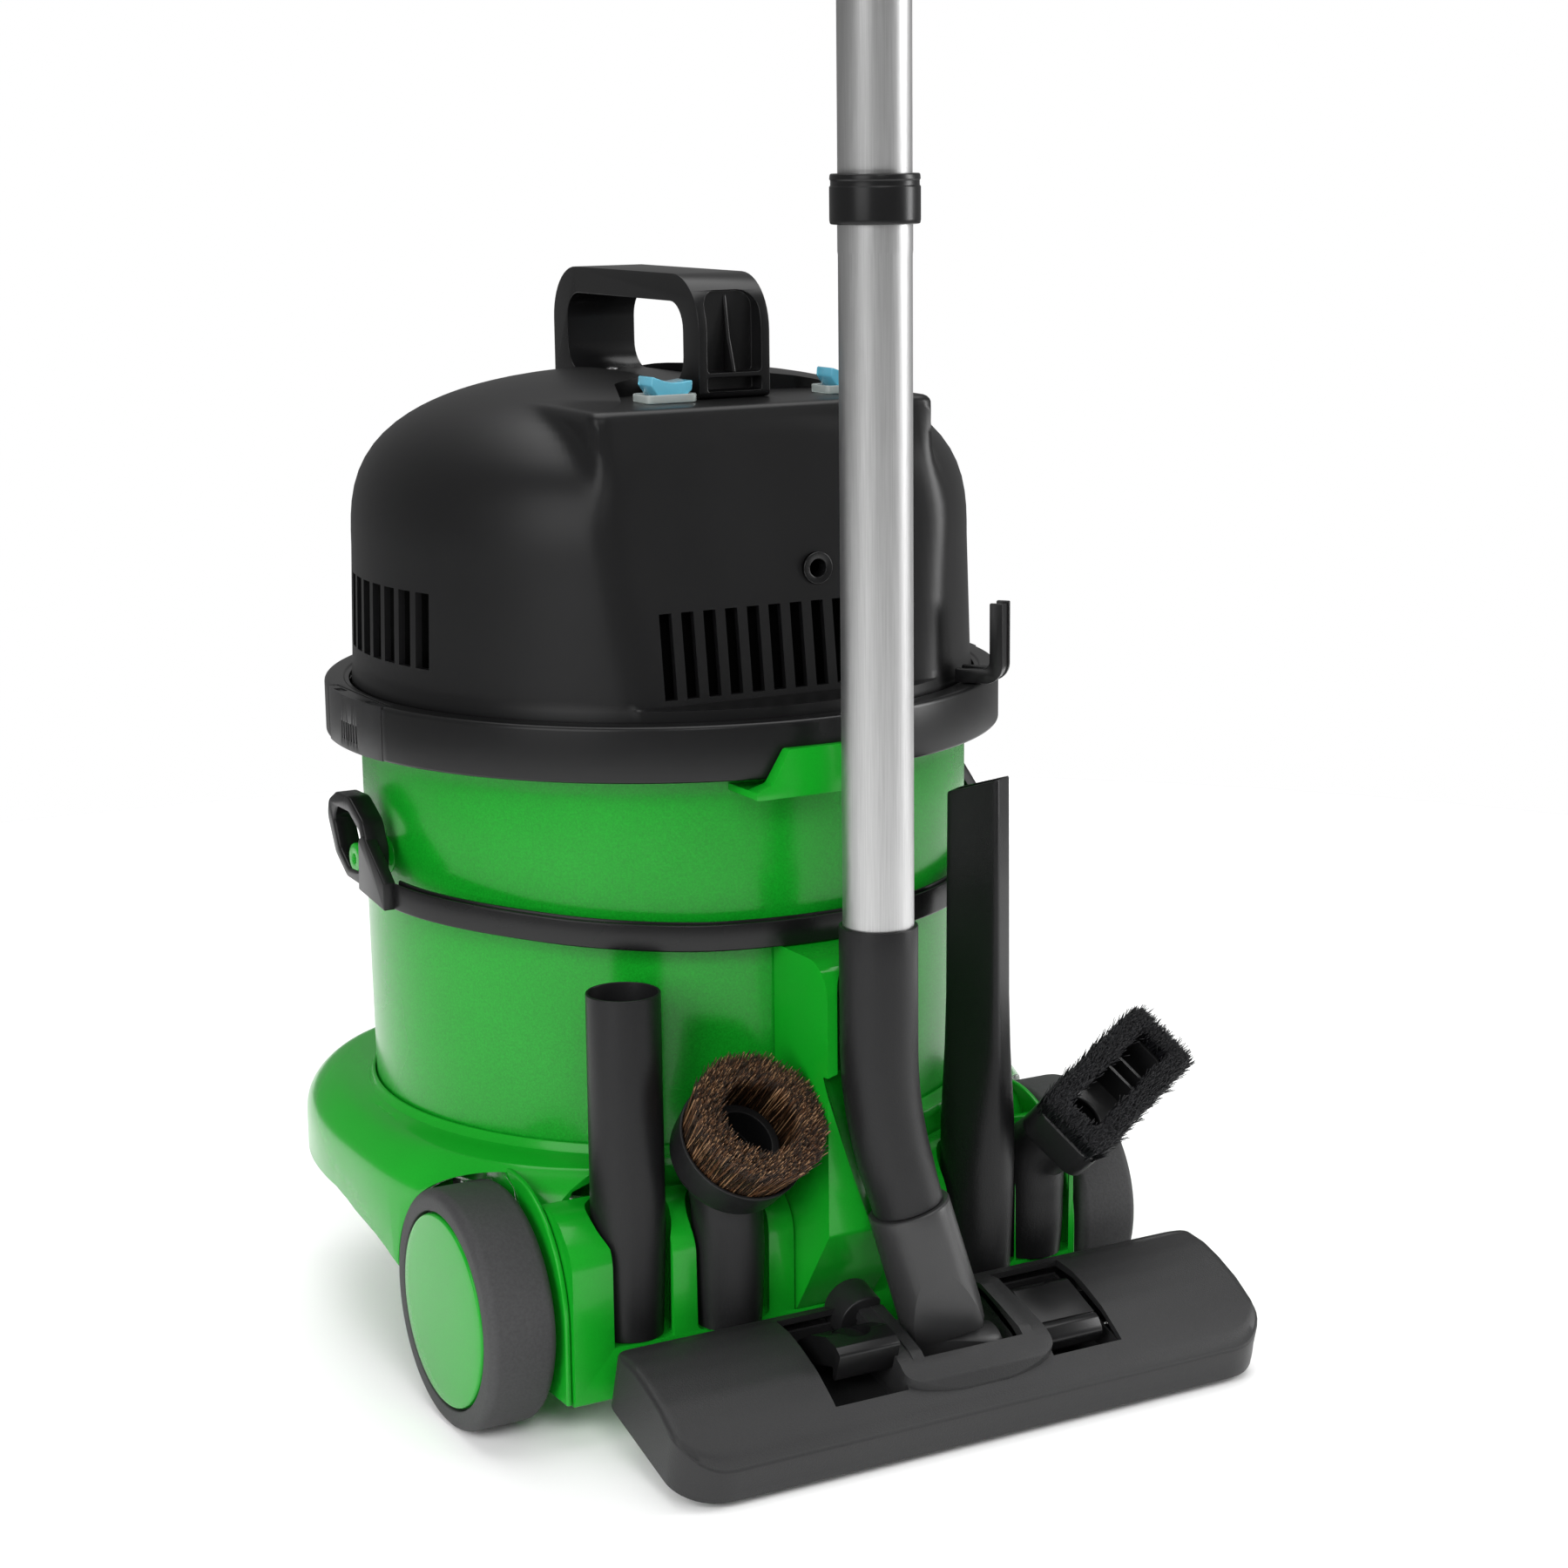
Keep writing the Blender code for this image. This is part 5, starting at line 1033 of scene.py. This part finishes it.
def head_shell():
    rows = []
    stations = [HEAD_HALF * t for t in (-1, -0.9995, -0.998, -0.995, -0.99, -0.982, -0.97, -0.955, -0.94,
            -0.925, -0.91, -0.89, -0.86)]
    stations += [HEAD_HALF * (-0.84 + 1.68 * k / 24) for k in range(25)] + [-s for s in stations[::-1]]
    for x in stations:
        near_end = HEAD_HALF - abs(x)
        drop = 0.003 - math.sqrt(max(0.003 ** 2 - max(0.003 - near_end, 0) ** 2, 0))
        front = 0.022 - math.sqrt(max(0.022 ** 2 - max(0.022 - near_end, 0) ** 2, 0))
        rear = HEAD_DEPTH - 0.01 + math.sqrt(max(0.01 ** 2 - max(0.01 - near_end, 0) ** 2, 0))
        span = rear - front
        row = [(front + 0.0002, 0.0), (front, 0.0006), (front, 0.005), (front + 0.0006, 0.01)]
        for k in range(6):
            turn = math.radians(90 * k / 5)
            edge = 0.0022
            row.append((front + 0.0008 + edge * (1 - math.cos(turn)),
                    crown(front) - edge * (1 - math.sin(turn)) * 0.75 + 0.0004 - drop))
        for k in range(1, 25):
            back = front + 0.003 + (span - 0.006) * k / 24
            row.append((back, crown(back) - drop))
        for k in range(1, 6):
            turn = math.radians(90 * k / 5)
            row.append((rear - 0.003 + 0.0028 * math.sin(turn),
                    crown(rear - 0.003) - 0.003 * (1 - math.cos(turn)) - drop))
        row += [(rear, 0.01), (rear, 0.0)]
        rows.append([(x, back, up) for back, up in row])
    shape = head_frame(loft(rows))
    square = HEAD_HALF - 0.0225
    under = [(0.003, -0.01), (0.003, 0.003), (0.004, 0.0135), (0.02, 0.0226), (0.035, 0.027), (0.06, 0.029),
            (0.074, 0.0262), (0.08, 0.02), (0.08, -0.01)]
    cuts = [head_frame(prism(under, "X", -square, square))]
    for sign in (1, -1):
        low, high = sorted((sign * (square - 0.001), sign * (HEAD_HALF - 0.0035)))
        cuts.append(head_frame(prism([(0.0225, -0.01), (0.0225, 0.0232), (0.035, 0.0272), (0.06, 0.029),
                (0.074, 0.0262),
                (0.079, 0.0215), (0.079, -0.01)], "X", low, high)))
        low, high = sorted((sign * 0.0385, sign * 0.076))
        cuts.append(head_box((low, high), (0.0165, 0.074), (0.0095, 0.06)))
    cuts.append(head_box((-0.0262, 0.0262), (0.015, 0.09), (0.0075, 0.06)))
    piece("head_crown", shape, "dark", "floor_nozzle", ("floor_head",), cuts=cuts, sharp=42)
    for side, sign in sides():
        low, high = sorted((sign * 0.0372, sign * 0.0773))
        wall = head_box((low, high), (0.0152, 0.0753), (0.0085, 0.0216))
        ramp = [(0.0165, 0.0222), (0.0178, 0.0175), (0.03, 0.0105), (0.074, 0.0105), (0.074, 0.05),
                (0.0165, 0.05)]
        near, far = sorted((sign * 0.0385, sign * 0.076))
        piece(f"pedal_tray_{side}", wall, "dark", "floor_nozzle",
              cuts=[head_frame(prism(ramp, "X", near, far))])
    frame_side = soften([(0.01, 0.015), (0.0113, 0.0232, 0.001), (0.015, 0.0276, 0.003),
            (0.03, 0.0336, 0.006), (0.046, 0.0342),
            (0.064, 0.0342, 0.008), (0.076, 0.029, 0.004), (0.076, 0.015)], steps=6)
    plan = []
    for k in range(25):
        turn = math.pi * k / 24
        plan.append((0.0395 * math.cos(turn), 0.0225 - 0.0118 * math.sin(turn) ** 0.8))
    outer = [(0.0372, 0.078), (0.0385, 0.05), *plan, (-0.0385, 0.05), (-0.0372, 0.078)]
    ring_hole = loft([[(a * s, 0.045 + (b - 0.045) * s, z) for a, b in outer] for s,
            z in ((1, 0.0), (1, 0.06), (2.2, 0.06), (2.2, 0.0))],
            closed=True)
    cuts = [head_frame(ring_hole), head_box((-0.0262, 0.0262), (0.0262, 0.09), (0.0075, 0.06)),
            head_box((-0.0262, 0.0262), (0.015, 0.09), (0.0075, 0.025))]
    for sign in (1, -1):
        low, high = sorted((sign * 0.032, sign * 0.045))
        step = [(0.023, 0.0312), (0.03, 0.0326), (0.046, 0.033), (0.066, 0.033), (0.08, 0.029),
                (0.08, 0.05), (0.023, 0.05)]
        cuts.append(head_frame(prism(step, "X", low, high)))
    piece("neck_frame", head_frame(prism(frame_side, "X", -0.042, 0.042)), "dark", "floor_nozzle",
          cuts=cuts, bevel=0.0009, steps=3,
          limit=28)
    hump = [(0.034 + 0.0122 * math.cos(math.pi * k / 20), 0.026 + 0.0125 * math.sin(math.pi * k / 20))
            for k in range(21)]
    hump = [(a, b) for a, b in hump] + [(0.0218, 0.02), (0.0462, 0.02)]
    piece("lever_hump", head_frame(prism(hump, "Y", 0.066, 0.0822)), "black_satin", "floor_nozzle",
          bevel=0.0018, steps=4,
          cuts=[head_box((-0.0262, 0.0262), (0.015, 0.09), (0.0075, 0.06))])
    for side, sign in sides():
        pin = rod(0.0046, (HEAD_X + sign * 0.0268, 0.2185, 0.03), (HEAD_X + sign * 0.0306, 0.2185, 0.03), 64)
        piece(f"trunnion_boss_{side}", pin, "dark", "floor_nozzle", bevel=0.0006)
    plate_cuts = [head_box((-HEAD_HALF + 0.028, HEAD_HALF - 0.028), (0.022, 0.04), (-0.01, 0.02))]
    for back in (0.013, 0.0545):
        plate_cuts.append(head_box((-HEAD_HALF + 0.033, HEAD_HALF - 0.033), (back - 0.0021, back + 0.0021),
                (-0.01, 0.02)))
    for sign in (1, -1):
        low, high = sorted((sign * 0.1313, sign * 0.16))
        plate_cuts.append(head_box((low, high), (-0.001, 0.0232), (-0.01, 0.02)))
        plate_cuts.append(head_box((sign * 0.123 - 0.009, sign * 0.123 + 0.009), (0.058, 0.077),
                (-0.01, 0.02)))
    piece("glide_plate", head_box((-HEAD_HALF + 0.0045, HEAD_HALF - 0.0045), (0.0045, HEAD_DEPTH - 0.0042),
            (0.001, 0.0035)), "steel",
          "floor_nozzle", ("sole_plate",), cuts=plate_cuts, bevel=0.0005)


def pedals():
    left = soften([(0.031, 0.0255, 0.001), (0.0302, 0.0395, 0.0016), (0.0345, 0.0412, 0.001),
            (0.044, 0.0405, 0.002),
            (0.056, 0.033, 0.004), (0.0655, 0.0235, 0.003), (0.0655, 0.015, 0.001),
            (0.0575, 0.0165, 0.001), (0.0345, 0.031, 0.001),
            (0.0335, 0.0255, 0.001)], steps=5)
    notch = head_frame(turned([(0, 0), (0.0085, 0), (0.0085, 0.02), (0, 0.02)], 64, (0.053, 0.0475, 0.033)))
    piece("pedal_left_key", head_frame(prism(left, "X", 0.0375, 0.0685)), "black", "left_pedal",
          ("pedal_left",), cuts=[notch],
          bevel=0.0008, steps=3)
    right = soften([(0.0245, 0.018, 0.003), (0.0235, 0.0262, 0.004), (0.029, 0.03, 0.003),
            (0.056, 0.0328, 0.004),
            (0.0655, 0.026, 0.003), (0.0655, 0.0145, 0.001), (0.056, 0.0145, 0.001),
            (0.036, 0.02, 0.001)], steps=6)
    bite = head_frame(turned([(0, 0), (0.0085, 0), (0.0085, 0.02), (0, 0.02)], 64, (-0.053, 0.064, 0.029)))
    groove = head_box((-0.072, -0.034), (0.0318, 0.0328), (0.0296, 0.04))
    piece("pedal_right_key", head_frame(prism(right, "X", -0.07, -0.039)), "black", "right_pedal",
          ("pedal_right",), cuts=[bite, groove],
          bevel=0.0008, steps=3)


def strips_and_rollers():
    rng = random.Random(7)
    for name, back in (("front", 0.013), ("back", 0.0545)):
        length = HEAD_HALF - 0.0336
        piece(f"strip_holder_{name}", head_box((-length, length), (back - 0.0015, back + 0.0015),
                (0.0035, 0.0062)), "black_satin",
              f"{name}_strip", (f"brush_strip_{name}",), bevel=0.0004)
        starts, ends = [], []
        for k in range(700):
            x = -length + 2 * length * (k + rng.random()) / 700
            at = back + rng.uniform(-0.0012, 0.0012)
            starts.append((x, at, 0.0036))
            ends.append((x + rng.uniform(-0.0008, 0.0008), at + rng.uniform(-0.0004, 0.0004),
                    -0.0006 + rng.uniform(0, 0.0008)))
        shape = strands([(Vector(a), Vector(b), Vector((0, 0, 0))) for a, b in zip(starts, ends)], 0.00024,
                0.00016, 2)
        piece(f"strip_tuft_{name}", head_frame(shape), "hair_dark", f"{name}_strip")
    for side, sign in sides():
        centre = head_frame_point(sign * 0.123, 0.068, 0.0088)
        rim = soften([(0, -0.0072), (0.0086, -0.0072, 0.0016), (0.0086, 0.0072, 0.0016), (0, 0.0072)],
                closed=False, steps=5)
        piece(f"roller_{side}", turned(rim, 64, centre, "X"), "rubber", f"{side}_roller",
              (f"head_roller_{side}",))


def head_frame_point(across, back, up):
    turn = Matrix.Rotation(-LEAN, 3, "X")
    return TRUNNION + Vector((HEAD_X, 0, 0)) + turn @ Vector((across, 0.0397 - back, up - 0.0167))


# ---------------------------------------------------------------- hand tools
def strands(rows, root, tip, steps=3, facets=3):
    """Thin tapering hairs from (start, end, sideways bow) rows, as one mesh."""
    verts, faces = [], []
    for start, end, bow in rows:
        along = (end - start).normalized()
        side = along.orthogonal().normalized()
        up = along.cross(side)
        first = len(verts)
        for k in range(steps + 1):
            t = k / steps
            point = start.lerp(end, t) + bow * (t * t)
            radius = root + (tip - root) * t
            for m in range(facets):
                a = TAU * m / facets
                verts.append(point + radius * (math.cos(a) * side + math.sin(a) * up))
        for k in range(steps):
            for m in range(facets):
                a, b = first + k * facets + m, first + k * facets + (m + 1) % facets
                faces.append((a, b, b + facets, a + facets))
        faces.append(tuple(first + m for m in range(facets))[::-1])
        faces.append(tuple(first + steps * facets + m for m in range(facets)))
    mesh = bpy.data.meshes.new("strands")
    mesh.from_pydata([tuple(v) for v in verts], [], faces)
    shape = bmesh.new()
    shape.from_mesh(mesh)
    bpy.data.meshes.remove(mesh)
    return shape


def adaptor():
    x, y = TOOLS["adaptor"]
    outline = soften([(0.0137, TOOL_FOOT), (0.0152, TOOL_FOOT, 0.0006), (0.017, 0.095, 0.03),
            (0.0168, 0.205, 0.0006), (0.0157, 0.205, 0.0004),
            (0.0154, 0.112), (0.0137, 0.08)], steps=5)
    piece("adaptor_cone", turned(outline, 112, (x, y, 0)), "tube_black", "adaptor", ("adaptor_tube",))


def dusting():
    x, y = TOOLS["dusting"]
    face = Vector((-0.08, 0.7, 0.71)).normalized()
    base_ = Vector((x + 0.0015, y + 0.003, 0.123))
    path = [(x, y, TOOL_FOOT, 0.015, 0.0137), (x, y, 0.064, 0.016, 0.0137), (x, y, 0.08, 0.0166, 0.0137),
            (x + 0.001, y + 0.001, 0.102, 0.0165, 0.0132), (*(base_ - face * 0.0045), 0.0176, 0.013),
            (*(base_ + face * 0.001), 0.018, 0.013)]
    piece("brush_neck", pipe(smooth_path(path, 40), 80), "tube_black", "dusting", ("dusting_brush",))
    cup = soften([(0.0139, -0.004), (0.0235, -0.004, 0.004), (0.0285, 0.0, 0.006), (0.0305, 0.0178, 0.0006),
            (0.029, 0.018, 0.0005),
            (0.0274, 0.0034, 0.002), (0.0187, 0.0034, 0.001), (0.0181, 0.0182, 0.0006),
            (0.0141, 0.0182, 0.0006)], steps=6)
    piece("brush_cup", turned(cup, 128, base_, face), "tube_black", "dusting")
    place = Vector((0, 0, 1)).rotation_difference(face).to_matrix()
    rng = random.Random(11)
    # the tan strands are partly real hair colour and partly a painted highlight on the bristles
    count = {"hair_dark": 5200, "hair_brown": 2300, "hair_tan": 1150}
    for mat, number in count.items():
        rows = []
        for _ in range(number):
            turn = rng.uniform(0, TAU)
            share = rng.random() ** 0.75
            root = 0.0196 + (0.0263 - 0.0196) * share
            tip = 0.0187 + (0.0316 - 0.0187) * share + rng.gauss(0, 0.0005)
            length = 0.0405 + rng.gauss(0, 0.0013)
            if rng.random() < 0.05:
                length -= rng.uniform(0.002, 0.01)
            swirl = rng.gauss(0.03, 0.075)
            start = Vector((root * math.cos(turn), root * math.sin(turn), 0.0036))
            end = Vector((tip * math.cos(turn + swirl), tip * math.sin(turn + swirl), length))
            bow = Vector((rng.gauss(0, 0.0009), rng.gauss(0, 0.0009), 0))
            rows.append((base_ + place @ start, base_ + place @ end, place @ bow))
        shape = strands(rows, 0.0003, 0.00016, 4)
        replaces = ("dusting_bristles",) if mat == "hair_dark" else ()
        piece(f"bristles_{mat[5:]}", shape, mat, "dusting", replaces, sharp=180)


def crevice():
    x, y = TOOLS["crevice"]
    turn = math.radians(-58)
    rows = ((TOOL_FOOT, 0.0155, 0.0155, 1.0), (0.047, 0.0158, 0.0158, 1.0), (0.08, 0.017, 0.017, 1.0),
            (0.1, 0.0174, 0.0168, 0.95),
            (0.12, 0.0168, 0.0145, 0.75), (0.138, 0.0156, 0.0106, 0.5), (0.155, 0.0146, 0.0086, 0.34),
            (0.18, 0.0138, 0.0078, 0.26),
            (0.23, 0.0135, 0.0074, 0.22), (0.28, 0.0132, 0.007, 0.2), (0.281, 0.0129, 0.0067, 0.2))
    facets = 96

    def ring_(height, wide, thick, square, inset, slope):
        row = []
        for k in range(facets):
            angle = TAU * (k + 0.5) / facets
            a = (wide - inset) * math.copysign(abs(math.cos(angle)) ** square, math.cos(angle))
            b = (thick - inset) * math.copysign(abs(math.sin(angle)) ** square, math.sin(angle))
            row.append((x + a * math.cos(turn) - b * math.sin(turn),
                    y + a * math.sin(turn) + b * math.cos(turn), height + slope * a))
        return row

    outside = [ring_(*row, 0.0, -0.3 * max(0.0, (row[0] - 0.16) / 0.121)) for row in rows]
    inside_ = [ring_(*row, 0.0021, -0.3 * max(0.0, (row[0] - 0.16) / 0.121)) for row in rows]
    piece("crevice_blade", loft(outside + inside_[::-1], closed=True), "tube_black", "crevice",
          ("crevice_tool",), sharp=38)


def upholstery():
    x, y = TOOLS["upholstery"]
    tilt = Vector((-0.1, 0.72, 0.69)).normalized()
    along = Vector((-0.88, -0.28, 0.38))
    along = (along - along.dot(tilt) * tilt).normalized()
    across = tilt.cross(along)
    middle = Vector((-0.1411, 0.17, 0.118))
    base_ = middle - along * 0.015
    path = [(x, y, TOOL_FOOT, 0.015, 0.0137), (x, y, 0.062, 0.0162, 0.0137), (x, y, 0.078, 0.0166, 0.0137),
            (x - 0.001, y + 0.003, 0.095, 0.0162, 0.0122), (*(base_ - tilt * 0.008), 0.0152, 0.0115),
            (*(base_ + tilt * 0.001), 0.015, 0.0115)]
    piece("upholstery_neck", pipe(smooth_path(path, 40), 80), "tube_black", "upholstery",
          ("upholstery_tool",))
    place = Matrix((along, across, tilt)).transposed().to_4x4()
    place.translation = middle

    def put(shape):
        bmesh.ops.transform(shape, matrix=place, verts=shape.verts)
        return shape

    cup = put(prism(rounded((-0.045, -0.019), (0.045, 0.019), 0.0085, 8), "Z", 0.0, 0.018))
    hollow = put(prism(rounded((-0.0428, -0.0168), (0.0428, 0.0168), 0.0066, 8), "Z", 0.0026, 0.03))
    hole = put(rod(0.0112, (-0.015, 0, -0.02), (-0.015, 0, 0.02), 64))
    piece("upholstery_cup", cup, "black_satin", "upholstery", cuts=[hollow, hole], bevel=0.0011, steps=3)
    inner = put(prism(rounded((-0.035, -0.01), (0.035, 0.01), 0.004, 6), "Z", 0.0026, 0.019))
    inner_hole = put(prism(rounded((-0.0333, -0.0083), (0.0333, 0.0083), 0.0026, 6), "Z", 0.0, 0.03))
    piece("upholstery_wall", inner, "black_satin", "upholstery", cuts=[inner_hole], bevel=0.0004)
    for k, at in enumerate((0.012, 0.021)):
        rib = put(box((at - 0.0008, -0.0084, 0.0026), (at + 0.0008, 0.0084, 0.015)))
        piece(f"upholstery_rib_{k}", rib, "black_satin", "upholstery")
    rng = random.Random(5)
    rows = []
    for _ in range(13000):
        edge = rounded_point(rng, 0.0395, 0.0136)
        start = Vector((edge[0], edge[1], 0.015))
        lean = Vector((edge[0] / 0.0385, edge[1] / 0.0128, 0)) * rng.uniform(-0.0004, 0.001)
        end = start + lean + Vector((rng.gauss(0, 0.0009), rng.gauss(0, 0.0009),
                0.0122 + rng.gauss(0, 0.0011)))
        rows.append((start, end, Vector((rng.gauss(0, 0.0009), rng.gauss(0, 0.0009), 0))))
    shape = put(strands(rows, 0.0003, 0.00018, 3))
    piece("upholstery_pile", shape, "pile_black", "upholstery", ("upholstery_bristles",), sharp=180)


def rounded_point(rng, half_a, half_b):
    """Random point in the rectangular ring that the pile fills."""
    width = 0.0046
    total = 2 * half_a + 2 * half_b
    pick = rng.uniform(0, total)
    jitter = rng.uniform(-width, width)
    side = rng.choice((-1, 1))
    if pick < 2 * half_a:
        return rng.uniform(-half_a - 0.002, half_a + 0.002), side * half_b + jitter
    return side * half_a + jitter, rng.uniform(-half_b - 0.002, half_b + 0.002)


# ---------------------------------------------------------------- build
def main():
    look_camera()
    studio()
    materials()
    base()
    caddy()
    dock()
    wheels()
    castors()
    drum()
    bail()
    dome()
    ring()
    handle()
    switches()
    hook_and_gland()
    inside()
    wand()
    head_shell()
    pedals()
    strips_and_rollers()
    adaptor()
    dusting()
    crevice()
    upholstery()


main()
